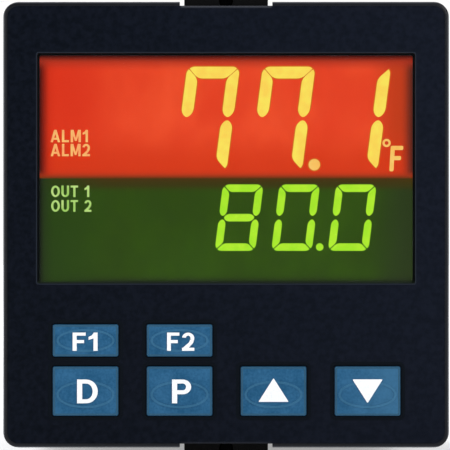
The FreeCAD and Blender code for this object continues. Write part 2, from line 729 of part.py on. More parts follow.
def capacitor_can(x, y, radius, height):
    """An aluminium can: crimped in above its base, with a rounded rim on top."""
    base = POWER_BOARD_INNER
    can = Part.makeCylinder(radius, height, Vector(x, y, base))
    can = can.makeFillet(CAN_RIM_RADIUS, round_edges(can, base + height))
    groove = Part.makeTorus(radius, CAN_GROOVE_RADIUS, Vector(x, y, base + CAN_GROOVE_HEIGHT))
    return can.cut(groove)


def make_filter_capacitors():
    """The can capacitors in front of the transformer."""
    return Part.makeCompound([capacitor_can(*place) for place in CAPACITORS])


def make_output_relays():
    """The sealed relays beside the transformer."""
    y_range = (RELAY_FRONT, RELAY_FRONT + RELAY_DEPTH)
    z_range = (POWER_BOARD_INNER, POWER_BOARD_INNER + RELAY_HEIGHT)
    relays = []
    for left in RELAY_LEFT_SIDES:
        relay = box((left, left + RELAY_WIDTH), y_range, z_range)
        upper_edges = [e for e in relay.Edges if e.CenterOfMass.z > POWER_BOARD_INNER + RELAY_EDGE]
        relays.append(relay.makeChamfer(RELAY_EDGE, upper_edges))
    return Part.makeCompound(relays)


def make_varistor():
    """The disc that guards the supply input, standing on its edge, with its rims rounded."""
    x, y = VARISTOR_PLACE
    centre = Vector(x, y, POWER_BOARD_INNER + VARISTOR_RADIUS)
    disc = Part.makeCylinder(VARISTOR_RADIUS, VARISTOR_THICKNESS, centre, Vector(1, 0, 0))
    return disc.makeFillet(VARISTOR_EDGE_RADIUS, round_edges(disc))


def make_processor_chip():
    half = PROCESSOR_SIDE / 2
    z_range = (MAIN_BOARD_Z, MAIN_BOARD_Z + PROCESSOR_THICKNESS)
    return box((-half, half), (PROCESSOR_Y - half, PROCESSOR_Y + half), z_range)


def make_input_chips():
    """The amplifiers and converters of the sensor input."""
    z_range = (MAIN_BOARD_Z, MAIN_BOARD_Z + INPUT_CHIP_THICKNESS)
    return Part.makeCompound(
        [box((x, x + width), (y, y + depth), z_range) for x, y, width, depth in INPUT_CHIPS]
    )


# ---- terminals ----------------------------------------------------------------------------


def pole_places(strip_x):
    """The x of each pole's middle on the strip centred on strip_x."""
    return [strip_x + (pole - (POLES - 1) / 2) * POLE_PITCH for pole in range(POLES)]


def make_terminal_strip(strip_x, side_z):
    """A barrier strip: open to the rear and outwards, with a wall between its poles."""
    half = STRIP_WIDTH / 2
    x_range = (strip_x - half, strip_x + half)
    strip = box(x_range, (STRIP_FRONT, COVER_BACK), (STRIP_BASE_BOTTOM, STRIP_TOP))
    barrier_y = (COVER_BACK, BARRIER_REAR)
    walls = [box(x_range, barrier_y, (STRIP_BOTTOM, STRIP_BOTTOM + STRIP_INNER_WALL))]
    for index in range(POLES + 1):
        x = strip_x + (index - POLES / 2) * POLE_PITCH
        outline = [
            (COVER_BACK, STRIP_BOTTOM),
            (BARRIER_REAR, STRIP_BOTTOM),
            (BARRIER_REAR, STRIP_TOP - BARRIER_LENGTH / 2),
            (BARRIER_REAR - BARRIER_LENGTH / 2, STRIP_TOP),
            (COVER_BACK, STRIP_TOP),
        ]
        walls.append(profile_along_x(outline, (x - BARRIER / 2, x + BARRIER / 2)))
    strip = strip.fuse(walls)
    reach = TERMINAL_SCREW_RADIUS + CLEARANCE
    pockets = [
        box(
            (x - reach, x + reach),
            (COVER_BACK - TERMINAL_SCREW_LENGTH, COVER_BACK),
            (TERMINAL_SCREW_Z - reach, TERMINAL_SCREW_Z + reach),
        )
        for x in pole_places(strip_x)
    ]
    strip = strip.cut(pockets).removeSplitter()
    return strip if side_z > 0 else upside_down(strip)


def every_pole():
    return [x for strip_x in (-STRIP_CENTRE_X, STRIP_CENTRE_X) for x in pole_places(strip_x)]


def contact(x):
    """A clamp plate with the tail that is soldered to the board."""
    half = CONTACT_WIDTH / 2
    y_range = (COVER_BACK, COVER_BACK + CONTACT_THICKNESS)
    upright = box((x - half, x + half), y_range, (MAIN_BOARD_Z, MAIN_BOARD_Z + CONTACT_HEIGHT))
    tail = box(
        (x - TAIL_WIDTH / 2, x + TAIL_WIDTH / 2),
        (TAIL_FRONT, COVER_BACK),
        (MAIN_BOARD_Z, MAIN_BOARD_Z + CONTACT_THICKNESS),
    )
    hole = rod(x, TERMINAL_SCREW_Z, TERMINAL_SCREW_RADIUS + SEAT_GAP, *y_range)
    return upright.cut(hole).fuse(tail).removeSplitter()


def terminal_screw(x):
    head_front = COVER_BACK + CONTACT_THICKNESS + TERMINAL_HEAD_GAP
    shank = rod(
        x, TERMINAL_SCREW_Z, TERMINAL_SCREW_RADIUS, head_front - TERMINAL_SCREW_LENGTH, head_front
    )
    head = rod(x, TERMINAL_SCREW_Z, TERMINAL_HEAD_RADIUS, head_front, head_front + TERMINAL_HEAD)
    return shank.fuse(head).removeSplitter()


def make_terminal_row(build_one, side_z):
    """One solid for each pole of the upper or the lower row."""
    solids = [build_one(x) for x in every_pole()]
    if side_z < 0:
        solids = [upside_down(solid) for solid in solids]
    return Part.makeCompound(solids)


# ---- panel latch --------------------------------------------------------------------------


def latch_boss():
    """The upper screw boss: a front plate, two cheeks and the threaded barrel."""
    half = LATCH_BOSS_WIDTH / 2
    bar_top = LATCH_HOLE / 2 + LATCH_BAR
    front_y = (LATCH_FRONT, LATCH_FRONT + LATCH_PLATE)
    front = box((-half, half), front_y, (LATCH_HOLE / 2, LATCH_BOSS_TOP))
    cheek_outline = [
        (LATCH_FRONT, LATCH_HOLE / 2),
        (LATCH_REAR, LATCH_HOLE / 2),
        (LATCH_REAR, bar_top),
        (LATCH_FRONT + LATCH_PLATE, LATCH_BOSS_TOP),
        (LATCH_FRONT, LATCH_BOSS_TOP),
    ]
    cheeks = [
        profile_along_x(cheek_outline, (-half, -half + LATCH_CHEEK)),
        profile_along_x(cheek_outline, (half - LATCH_CHEEK, half)),
    ]
    barrel = rod(0, JACK_Z, JACK_BOSS_RADIUS, LATCH_FRONT, LATCH_FRONT + JACK_BOSS_LENGTH)
    web = box(
        (-LATCH_CHEEK / 2, LATCH_CHEEK / 2),
        (LATCH_FRONT, LATCH_REAR),
        (LATCH_HOLE / 2, JACK_Z),
    )
    return front.fuse(cheeks + [barrel, web])


def make_panel_latch():
    """The frame that slides on the case from the rear, with a screw boss above and below."""
    y_range = (LATCH_FRONT, LATCH_REAR)
    width = LATCH_HOLE + 2 * LATCH_SIDE_BAR
    frame = plate(width, LATCH_HOLE + 2 * LATCH_BAR, LATCH_CORNER, y_range)
    upper = latch_boss()
    body = frame.fuse([upper, upside_down(upper)])
    opening = (LATCH_FRONT - OVERCUT, LATCH_FRONT + JACK_BOSS_LENGTH + OVERCUT)
    cuts = [plate(LATCH_HOLE, LATCH_HOLE, CASE_CORNER + CLEARANCE, opening)]
    cuts += [rod(0, z, JACK_BORE, *opening) for z in (-JACK_Z, JACK_Z)]
    return body.cut(cuts).removeSplitter()


def make_latch_tab(side_x):
    """A springy tab behind the frame, with the tooth that clicks into the case's rack."""
    tooth_tip = CASE_SIDE / 2 - RACK_BITE
    outline = [
        (TAB_INSIDE, LATCH_REAR),
        (TAB_OUTSIDE, LATCH_REAR),
        (TAB_OUTSIDE, TAB_REAR),
        (TAB_OUTSIDE + TAB_LIP, TAB_REAR + TAB_LIP),
        (TAB_OUTSIDE + TAB_LIP - TAB_THICKNESS, TAB_REAR + TAB_LIP),
        (TAB_INSIDE, TAB_REAR),
        (TAB_INSIDE, TOOTH_REAR),
        (tooth_tip, TOOTH_REAR),
        (tooth_tip, TOOTH_REAR - TOOTH_LENGTH / 3),
        (TAB_INSIDE, TOOTH_REAR - TOOTH_LENGTH),
    ]
    z_range = (-TAB_HALF_HEIGHT, TAB_HALF_HEIGHT)
    return profile_along_z([(side_x * x, y) for x, y in outline], z_range)


def make_latch_screw(side_z):
    z = side_z * JACK_Z
    end = JACK_TIP + JACK_LENGTH
    shank = rod(0, z, JACK_RADIUS, JACK_TIP, end)
    head = rod(0, z, JACK_HEAD_RADIUS, end, end + JACK_HEAD)
    return shank.fuse(head).removeSplitter()


# ---- the assembly -------------------------------------------------------------------------


def all_parts():
    parts = {
        "case": make_case(),
        "front_bezel": make_front_bezel(),
        "front_overlay": make_front_overlay(),
        "display_window": make_display_window(),
        "panel_gasket": make_panel_gasket(),
        "lcd_glass": make_lcd_glass(),
        "lcd_holder": make_lcd_holder(),
        "display_board": make_display_board(),
        "display_board_screws": make_display_board_screws(),
        "switch_housings": make_switch_housings(),
        "rear_cover": make_rear_cover(),
        "input_board": make_main_board(1),
        "power_board": make_main_board(-1),
        "input_board_connector": make_board_connector(1),
        "power_board_connector": make_board_connector(-1),
        "transformer_core": make_transformer_core(),
        "transformer_coil": make_transformer_coil(),
        "filter_capacitors": make_filter_capacitors(),
        "output_relays": make_output_relays(),
        "varistor": make_varistor(),
        "processor_chip": make_processor_chip(),
        "input_chips": make_input_chips(),
        "panel_latch": make_panel_latch(),
        "latch_tab_left": make_latch_tab(-1),
        "latch_tab_right": make_latch_tab(1),
        "latch_screw_top": make_latch_screw(1),
        "latch_screw_bottom": make_latch_screw(-1),
    }
    half_gap = BACKLIGHT_GAP / 2
    parts["backlight_upper"] = make_backlight(BACKLIGHT_SPLIT_Z + half_gap, LCD_TOP)
    parts["backlight_lower"] = make_backlight(LCD_BOTTOM, BACKLIGHT_SPLIT_Z - half_gap)
    for name, (x, z, height) in KEYS.items():
        parts["key_" + name] = make_key(x, z, height)
        parts["switch_button_" + name] = make_switch_button(x, z)
    for row, side_z in (("upper", 1), ("lower", -1)):
        for column, side_x in (("left", -1), ("right", 1)):
            name = "terminal_strip_%s_%s" % (row, column)
            parts[name] = make_terminal_strip(side_x * STRIP_CENTRE_X, side_z)
        parts["terminal_contacts_" + row] = make_terminal_row(contact, side_z)
        parts["terminal_screws_" + row] = make_terminal_row(terminal_screw, side_z)
    return parts


def main():
    os.makedirs("parts", exist_ok=True)
    for name, shape in all_parts().items():
        shape.exportStep("parts/%s.step" % name)


main()
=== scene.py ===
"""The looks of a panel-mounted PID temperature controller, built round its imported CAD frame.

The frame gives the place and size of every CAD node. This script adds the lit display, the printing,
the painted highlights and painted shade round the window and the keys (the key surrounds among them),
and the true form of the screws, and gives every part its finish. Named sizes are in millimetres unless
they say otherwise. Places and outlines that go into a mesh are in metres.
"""

import json
import math

import bmesh
import bpy
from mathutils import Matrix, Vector
from mathutils.geometry import delaunay_2d_cdt


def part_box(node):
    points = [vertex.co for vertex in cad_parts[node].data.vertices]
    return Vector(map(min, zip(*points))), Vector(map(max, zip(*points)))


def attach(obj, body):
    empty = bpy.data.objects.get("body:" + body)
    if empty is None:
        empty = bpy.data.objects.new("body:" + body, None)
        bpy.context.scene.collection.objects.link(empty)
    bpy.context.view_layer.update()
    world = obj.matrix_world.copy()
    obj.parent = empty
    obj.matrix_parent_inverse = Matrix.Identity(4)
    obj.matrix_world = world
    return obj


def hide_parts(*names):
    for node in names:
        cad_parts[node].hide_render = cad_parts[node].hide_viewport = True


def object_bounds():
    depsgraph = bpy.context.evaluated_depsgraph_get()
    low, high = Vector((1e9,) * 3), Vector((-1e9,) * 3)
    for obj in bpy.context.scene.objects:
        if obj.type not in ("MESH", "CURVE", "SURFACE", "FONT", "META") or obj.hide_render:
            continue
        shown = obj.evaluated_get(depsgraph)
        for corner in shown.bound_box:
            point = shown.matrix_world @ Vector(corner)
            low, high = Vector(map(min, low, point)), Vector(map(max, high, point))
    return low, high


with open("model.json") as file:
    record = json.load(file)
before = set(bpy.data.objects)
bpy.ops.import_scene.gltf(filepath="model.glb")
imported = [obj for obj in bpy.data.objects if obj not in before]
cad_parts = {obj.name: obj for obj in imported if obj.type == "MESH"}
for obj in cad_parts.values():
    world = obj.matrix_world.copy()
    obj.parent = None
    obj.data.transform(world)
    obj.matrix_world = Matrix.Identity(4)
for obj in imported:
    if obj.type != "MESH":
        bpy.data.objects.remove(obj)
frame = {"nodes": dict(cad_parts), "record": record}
cad_low, cad_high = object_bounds()

MM = 0.001
INK = 0.012 * MM  # thickness of printing, in metres
BASE_BODY = "controller"

# ---- sizes that the frame does not hold (millimetres) --------------------------------------

KEY_FLANGE = 0.6  # a key's flange stands out this far round its cap
KEY_OPENING_GAP = 0.15  # between a cap and the overlay round it
KEY_BEVEL = 0.2
KEY_CORNER = 0.5
KEY_RING_HEIGHT = 0.12  # of the raised oval on a cap
KEY_EDGE_HIGHLIGHT = 0.34  # painted highlight: a pale band round a key's face, where its edge catches the light
KEY_SURROUND_SHADE = 0.8  # painted shade: a dark band on the overlay round a key, where the seam round its opening lies in shade

WINDOW_CORNER = 0.5
WINDOW_GAP = 0.05  # between the window and the overlay round it
VIEW_LEDGE = 0.35  # width of the window's rim that stays dark round the lit fields
CUT_EDGE_HIGHLIGHT = 0.28  # painted highlight: the pale cut edge of the overlay round the window, where it catches the light
FIELD_MARGIN = 0.4  # the lit fields end this far inside the glass
CONTACT_STRIP = 2.5  # the foot of the glass, which stays unlit
RIM_LIFT = 0.09  # the rims of the bars lie this far in front of the glass
NOTCH_WIDTH = 20.1  # of the notches in the bezel's top and bottom edges

POLES = 5  # of one terminal strip
BARRIER = 1.5
SCREW_RADIUS = 1.5
TERMINAL_HEAD = 1.9  # heights of the screw heads
JACK_HEAD = 2.2
THREAD_PITCH = 0.5
THREAD_DEPTH = 0.28
RINGS_PER_TURN = 4
SHAFT_STEPS = 24
HEAD_STEPS = 32
DOME_STEPS = 5
HEAD_ROUNDING = 0.7  # share of a head's height that is rounded
RECESS_DEPTH = 0.55  # of the cross recess, as a share of the head's height
RECESS_REACH = 0.62  # shares of the head's radius
RECESS_HALF_WIDTH = 0.13

# A line of the display: bars with their lower left corner at "left", sheared to lean right.
MAIN_LINE = {
    "text": "77.1",
    "left": -11.62,
    "bottom": 11.5,
    "width": 11.88,
    "height": 23.05,
    "stroke": 3.0,
    "gap": 0.13,
    "waist": 0.04,
    "corner": 1.9,
    "soften": 1.0,
    "lean": 0.13,
    "pitch": 16.4,
    "dot_radius": 1.46,
    "dot_drop": 1.53,
    "dot_advance": 30.79,
    "rim": 0.22,
}
SET_LINE = {
    "text": "80.0",
    "left": -2.62,
    "bottom": -5.8,
    "width": 9.05,
    "height": 14.65,
    "stroke": 1.86,
    "gap": 0.22,
    "waist": 0.2,
    "corner": 1.6,
    "soften": 0.62,
    "lean": 0.125,
    "pitch": 12.29,
    "dot_radius": 0.94,
    "dot_drop": 0.95,
    "dot_advance": 22.95,
    "rim": 0.13,
}
BARS_OF = {"0": "abcdef", "1": "bc", "7": "abcf", "8": "abcdefg"}

# Printed words: text, left, right, bottom, top.
MAIN_LABELS = [("ALM1", -38.16, -30.01, 17.91, 20.61), ("ALM2", -38.12, -29.57, 14.86, 17.56)]
SET_LABELS = [("OUT 1", -38.02, -29.72, 6.0, 8.5), ("OUT 2", -38.01, -29.26, 2.8, 5.35)]

# The unit sign beside the main reading.
UNIT_RING = {"x": 34.86, "z": 17.75, "outer": 0.9, "inner": 0.42}
UNIT_LETTER = {
    "left": 35.44,
    "bottom": 11.58,
    "width": 2.75,
    "height": 5.55,
    "stroke": 0.92,
    "waist": 0.52,  # of the middle bar, as a share of the height
    "short": 0.35,  # the middle bar ends this far before the upper one
    "lean": 0.06,
}
UNIT_SOFTENING = 0.35
STROKE_OVERLAP = 0.2  # the cross bars start this far inside the post

# How overlapping outlines are merged: only triangles inside them, and points this near are one.
INSIDE_TRIANGLES = 1
WELD_DISTANCE = 1e-5

# Key legends: text, width, height, shift right and shift up from the key's middle.
KEY_LEGENDS = {
    "key_f1": ("F1", 5.4, 3.95, -0.09, -0.25),
    "key_f2": ("F2", 5.9, 3.95, 0.25, -0.25),
    "key_display": ("D", 4.5, 5.15, 0.42, -0.05),
    "key_program": ("P", 4.15, 5.15, 0.45, -0.05),
}
KEY_ARROWS = {"key_up": 1, "key_down": -1}
ARROW_WIDTH = 6.55
ARROW_HEIGHT = 5.15
ARROW_RISE = 0.12  # above the middle of the key
ARROW_SET = 0.14  # further on, the way that the arrow points
ARROW_SOFTENING = 0.25

# ---- stage, light and camera (metres, watts) -----------------------------------------------

FLOOR_REACH = 4.0
FLOOR_GLOW = (0.35, 1.0)  # strength near the object and far away
FLOOR_GLOW_DISTANCES = (0.35, 1.5)
LIGHT_AIM = (0, 0.03, 0)
LIGHTS = [  # name, place, size, power
    ("key_light", (0.75, -0.75, 0.6), 0.6, 8.4),
    ("fill_light", (-0.9, -0.5, 0.25), 0.7, 3.6),
    ("rear_light", (-0.4, 0.9, 0.8), 0.7, 9),
]
ROOM_COLOUR = (0.9, 0.93, 1.0, 1.0)
ROOM_STRENGTH = 0.35
CAMERA_DISTANCE = 0.8
CAMERA_X = -0.24 * MM
CAMERA_Z = -0.07 * MM
VIEW_SHARE = 1.00897  # the view is this much wider than the bezel
SENSOR_WIDTH = 36


# ---- colours and shader nodes --------------------------------------------------------------


def colour(red, green, blue):
    """A colour given as 0 to 255 display values, in the linear form that shaders use."""
    linear = []
    for value in (red, green, blue):
        v = value / 255
        linear.append(v / 12.92 if v <= 0.04045 else ((v + 0.055) / 1.055) ** 2.4)
    return (*linear, 1.0)


class Finish:
    """A material under construction: its shader, and short calls for the nodes that feed it."""

    def __init__(self, name, **sockets):
        self.material = bpy.data.materials.new(name)
        self.material.use_nodes = True
        self.tree = self.material.node_tree
        self.shader = self.tree.nodes["Principled BSDF"]
        for socket, value in sockets.items():
            self.shader.inputs[socket.replace("_", " ")].default_value = value

    def node(self, kind, **settings):
        made = self.tree.nodes.new(kind)
        for key, value in settings.items():
            setattr(made, key, value)
        return made

    def join(self, source, target):
        """Feeds a socket from another socket, or sets it to a number, colour or vector."""
        if hasattr(source, "is_output"):
            self.tree.links.new(source, target)
        else:
            target.default_value = source

    def feed(self, socket, source):
        self.join(source, self.shader.inputs[socket])

    def place(self, stretch=(1, 1, 1)):
        """The point on the object, in metres, scaled along each axis."""
        mapping = self.node("ShaderNodeMapping")
        mapping.inputs["Scale"].default_value = stretch
        self.join(self.node("ShaderNodeTexCoord").outputs["Object"], mapping.inputs["Vector"])
        return mapping.outputs["Vector"]

    def axis(self, letter):
        """Where the point lies along X, Y or Z, in metres."""
        split = self.node("ShaderNodeSeparateXYZ")
        self.join(self.node("ShaderNodeTexCoord").outputs["Object"], split.inputs[0])
        return split.outputs[letter]

    def off_centre(self, letter):
        """How far the point lies from the middle along X, Y or Z, either way."""
        return self.maths("ABSOLUTE", self.axis(letter), 0.0)

    def noise(self, size, detail=3.0, stretch=(1, 1, 1)):
        """Clouds whose features are about that many millimetres across."""
        made = self.node("ShaderNodeTexNoise")
        made.inputs["Scale"].default_value = 1 / (size * MM)
        made.inputs["Detail"].default_value = detail
        self.join(self.place(stretch), made.inputs["Vector"])
        return made.outputs["Fac"]

    def cells(self, size):
        """Cells about that many millimetres across, dark in their middles."""
        made = self.node("ShaderNodeTexVoronoi")
        made.inputs["Scale"].default_value = 1 / (size * MM)
        self.join(self.place(), made.inputs["Vector"])
        return made.outputs["Distance"]

    def bands(self, letter, size):
        """Waves along X, Y or Z, set by a size in millimetres."""
        made = self.node("ShaderNodeTexWave", bands_direction=letter)
        made.inputs["Scale"].default_value = 1 / (size * MM)
        self.join(self.place(), made.inputs["Vector"])
        return made.outputs["Fac"]

    def spread(self, source, low, high, to_low=0.0, to_high=1.0, smooth=False):
        """Maps the range from low to high onto another one, and holds it at the ends."""
        made = self.node("ShaderNodeMapRange")
        if smooth:
            made.interpolation_type = "SMOOTHSTEP"
        self.join(source, made.inputs["Value"])
        sockets = ("From Min", "From Max", "To Min", "To Max")
        for socket, value in zip(sockets, (low, high, to_low, to_high)):
            made.inputs[socket].default_value = value
        return made.outputs["Result"]

    def maths(self, operation, first, second):
        made = self.node("ShaderNodeMath", operation=operation)
        self.join(first, made.inputs[0])
        self.join(second, made.inputs[1])
        return made.outputs["Value"]

    def average(self, first, second):
        return self.maths("MULTIPLY", self.maths("ADD", first, second), 0.5)

    def mix(self, factor, first, second):
        """The first colour where the factor is 0, and the second where it is 1."""
        made = self.node("ShaderNodeMix", data_type="RGBA")
        self.join(factor, made.inputs["Factor"])
        self.join(first, made.inputs["A"])
        self.join(second, made.inputs["B"])
        return made.outputs["Result"]

    def roughen(self, source, low, high):
        """Uneven gloss: roughness between the two values, by a noise."""
        self.feed("Roughness", self.spread(source, 0.3, 0.7, low, high))

    def raise_by(self, height, depth):
        """Bumps the surface by that many millimetres between the lowest and the highest point."""
        made = self.node("ShaderNodeBump")
        made.inputs["Distance"].default_value = depth * MM
        self.join(height, made.inputs["Height"])
        self.join(made.outputs["Normal"], self.shader.inputs["Normal"])


# ---- finishes ------------------------------------------------------------------------------

BLACKS = (colour(20, 21, 24), colour(34, 35, 39))
STEELS = (colour(150, 150, 148), colour(206, 205, 200))
# painted highlight along the bezel's outer front edge, which also stands for wear from handling
RIM_WEAR_AND_HIGHLIGHT = colour(78, 80, 86)
NOTCH_GLINT = colour(60, 62, 68)


def rim_wear_and_highlight(f):
    """How far handling has polished the outermost front edge of the bezel, together with a painted
    highlight where that rounded edge catches the light, from 0 to 1.
    """
    low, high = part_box("front_bezel")
    out = f.maths("MAXIMUM", f.off_centre("X"), f.off_centre("Z"))
    outermost = f.spread(out, high.x - 0.42 * MM, high.x - 0.1 * MM)
    front = f.spread(f.axis("Y"), low.y + 1.2 * MM, low.y + 0.5 * MM)
    return f.maths("MULTIPLY", outermost, front)


def notch_glint(f):
    """How far the rounded edge along the two notches catches the light from above, from 0 to 1."""
    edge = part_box("front_overlay")[1].z
    half = NOTCH_WIDTH / 2 * MM
    line = 0.1 * MM
    along = f.spread(f.off_centre("X"), half, half - 0.5 * MM)
    upper = f.spread(f.axis("Z"), edge - 0.5 * MM, edge - line)
    lower = f.spread(f.axis("Z"), 0.4 * MM - edge, line - edge, 0.0, 0.3)
    return f.maths("MULTIPLY", along, f.maths("MAXIMUM", upper, lower))


def moulded(name, dark, light, rough, grain=0.35, depth=0.02, specular=0.5, marks=()):
    """Textured moulded plastic: fine pits, cloudy shade and uneven gloss.

    marks lists (a function for where the mark shows, its colour).
    """
    f = Finish(name, Specular_IOR_Level=specular)
    pits = f.noise(grain, 2)
    tone = f.mix(f.spread(f.average(f.noise(9, 4), pits), 0.35, 0.65), dark, light)
    for where, mark in marks:
        tone = f.mix(where(f), tone, mark)
    f.feed("Base Color", tone)
    f.roughen(f.noise(1.4), rough - 0.03, rough + 0.05)
    f.raise_by(pits, depth)
    return f.material


def printed_film(name, dark, light):
    """The front overlay: a satin film with faint grain, with painted light that makes it a little paler
    to the right.
    """
    f = Finish(name, Specular_IOR_Level=0.06)
    # painted light: the film is made paler towards the right, as the light falls on it
    across = f.spread(f.axis("X"), -48 * MM, 48 * MM, -0.12, 0.3)
    mottle = f.maths("ADD", f.spread(f.noise(1.1, 4), 0.36, 0.64, 0.22, 0.6), across)
    f.feed("Base Color", f.mix(notch_glint(f), f.mix(mottle, dark, light), NOTCH_GLINT))
    f.roughen(f.noise(0.6), 0.36, 0.46)
    f.raise_by(f.noise(0.28, 2), 0.006)
    return f.material


def key_cap(name):
    """Blue satin keys with a fine, slightly streaky print; painted light makes them a little paler
    towards the right.

    The oval ring on each cap is painted pale as a highlight, and the bevel round the face is painted
    dark as shade.
    """
    f = Finish(name, Specular_IOR_Level=0.16)
    fine = f.noise(0.5, 4)
    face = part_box("key_display")[0].y + KEY_RING_HEIGHT * MM
    # painted highlight on the raised ring
    ring_highlight = f.spread(f.axis("Y"), face - 0.03 * MM, face - 0.09 * MM, 0.0, 0.36)
    # painted shade on the bevel round the face
    bevel = f.spread(f.axis("Y"), face + 0.01 * MM, face + 0.18 * MM)
    # painted light: paler towards the right
    painted_light_right = f.spread(f.axis("X"), 24 * MM, 35 * MM, 0.0, 0.5)
    shade = f.spread(f.average(fine, f.noise(3.2, 2)), 0.36, 0.64)
    tone = f.mix(shade, colour(18, 76, 112), colour(42, 96, 134))
    tone = f.mix(painted_light_right, tone, colour(62, 112, 146))
    tone = f.mix(ring_highlight, tone, colour(66, 118, 148))
    f.feed("Base Color", f.mix(bevel, tone, colour(10, 34, 50)))
    f.roughen(fine, 0.4, 0.52)
    f.raise_by(f.noise(0.22, 2), 0.006)
    return f.material


def ink(name, tone, under, rough=0.5):
    """Screen-printed ink: even from afar, with a faint weave of the screen close to. The same finish
    carries the painted highlights and painted shade round the keys and the window.
    """
    f = Finish(name, Specular_IOR_Level=0.08)
    f.feed("Base Color", f.mix(f.spread(f.noise(0.16, 2), 0.2, 0.42), under, tone))
    f.roughen(f.noise(0.4), rough - 0.05, rough + 0.05)
    f.raise_by(f.cells(0.12), 0.004)
    return f.material


def painted_rim_shade(name, bottom):
    """Painted shade: a black band on the window's rim, where the recess lies in shade. The light from
    above falls on its lowest strip, as a painted highlight.
    """
    f = Finish(name, Specular_IOR_Level=0.06, Roughness=0.6)
    # painted shade: the black of the rim
    black = f.mix(f.noise(0.5), colour(2, 7, 7), colour(6, 11, 11))
    # painted highlight where the light from above falls on the lowest strip
    lit = f.spread(f.axis("Z"), bottom + 0.6 * MM, bottom + 0.3 * MM)
    f.feed("Base Color", f.mix(lit, black, colour(34, 44, 34)))
    f.raise_by(f.noise(0.3), 0.004)
    return f.material


def glowing(name, edge, middle, strength=1.0):
    """A lit segment of the display, uneven as its backlight is."""
    f = Finish(name, Roughness=0.4, Specular_IOR_Level=0.04, Emission_Strength=strength)
    f.feed("Base Color", colour(4, 4, 4))
    f.feed("Emission Color", f.mix(f.spread(f.noise(2.6, 2), 0.36, 0.64), edge, middle))
    return f.material


def clear_window(name):
    """The clear, hard-coated window, with the least trace of haze."""
    f = Finish(name, Alpha=0.04, Specular_IOR_Level=0.5)
    f.feed("Base Color", f.mix(f.noise(14, 2), colour(22, 24, 30), colour(40, 43, 50)))
    f.roughen(f.noise(6), 0.05, 0.1)
    return f.material


def dark_glass(name):
    """The unlit glass of the display."""
    f = Finish(name, Specular_IOR_Level=0.5)
    f.feed("Base Color", f.mix(f.noise(5, 2), colour(14, 14, 13), colour(26, 26, 24)))
    f.roughen(f.noise(4), 0.08, 0.16)
    return f.material


def light_guide(name, dark, light):
    """The dimpled block that spreads the backlight."""
    f = Finish(name, Transmission_Weight=0.25)
    f.feed("Base Color", f.mix(f.cells(1.4), light, dark))
    f.roughen(f.noise(1.2), 0.25, 0.4)
    f.raise_by(f.cells(0.7), 0.02)
    return f.material


def plated(name, dark, light, rough=0.32, tip=None):
    """Plated metal: bright, with fine drawn lines and dull patches.

    A screw whose tip is given has its point painted black as shade, as it turns in the dark of its
    barrel.
    """
    f = Finish(name, Metallic=1.0)
    lines = f.noise(0.25, 2, stretch=(1, 0.12, 1))
    tone = f.mix(f.spread(f.noise(1.8), 0.35, 0.65), dark, light)
    if tip is not None:
        # painted shade on the screw's point
        black = f.mix(lines, colour(3, 3, 4), colour(9, 9, 10))
        tone = f.mix(f.spread(f.axis("Y"), tip + 4 * MM, tip + 2 * MM), tone, black)
    f.feed("Base Color", tone)
    f.roughen(lines, rough - 0.08, rough + 0.12)
    f.raise_by(lines, 0.006)
    return f.material


def laminated(name):
    """The transformer's stack of varnished sheets."""
    f = Finish(name, Metallic=0.7)
    sheets = f.bands("Y", 6)
    f.feed("Base Color", f.mix(sheets, colour(64, 66, 70), colour(128, 128, 126)))
    f.roughen(f.noise(1.5), 0.4, 0.6)
    f.raise_by(sheets, 0.05)
    return f.material


def taped(name):
    """Polyester tape wound over the coil."""
    f = Finish(name, Coat_Weight=0.3)
    turns = f.bands("Z", 9)
    f.feed("Base Color", f.mix(turns, colour(176, 122, 28), colour(226, 176, 62)))
    f.roughen(f.noise(2), 0.22, 0.36)
    f.raise_by(turns, 0.03)
    return f.material


def circuit_board(name):
    """Green solder mask over faint copper tracks."""
    f = Finish(name, Coat_Weight=0.4, Coat_Roughness=0.2)
    tracks = f.node("ShaderNodeTexBrick", offset=0.5)
    tracks.inputs["Scale"].default_value = 1 / (4 * MM)
    tracks.inputs["Mortar Size"].default_value = 0.06
    f.join(f.place(), tracks.inputs["Vector"])
    shade = f.average(tracks.outputs["Fac"], f.noise(7))
    f.feed("Base Color", f.mix(shade, colour(16, 84, 48), colour(34, 122, 70)))
    f.roughen(f.noise(1.5), 0.3, 0.42)
    f.raise_by(tracks.outputs["Fac"], 0.03)
    return f.material


def display_zone(name, base, hot, dim, fades):
    """A lit field of the display. It pales and darkens in clouds, and fades near the given edges.

    fades lists (axis, edge in metres, where the fade ends and where it starts in millimetres from
    that edge, the colour it fades to, how fully). Later fades cover earlier ones.
    """
    f = Finish(name, Roughness=0.3, Specular_IOR_Level=0.04, Emission_Strength=1.0)
    f.feed("Base Color", colour(3, 3, 3))
    clouds = f.spread(f.noise(15, 2, stretch=(1, 1, 0.8)), 0.34, 0.66, smooth=True)
    fine = f.spread(f.noise(2.6, 2, stretch=(1, 1, 0.6)), 0.36, 0.64, 0.0, 0.3)
    tone = f.mix(fine, f.mix(clouds, base, hot), dim)
    for letter, edge, ends, starts, to, share in fades:
        low, high = edge + starts * MM, edge + ends * MM
        tone = f.mix(f.spread(f.axis(letter), low, high, 0.0, share, smooth=True), tone, to)
    f.feed("Emission Color", tone)
    return f.material


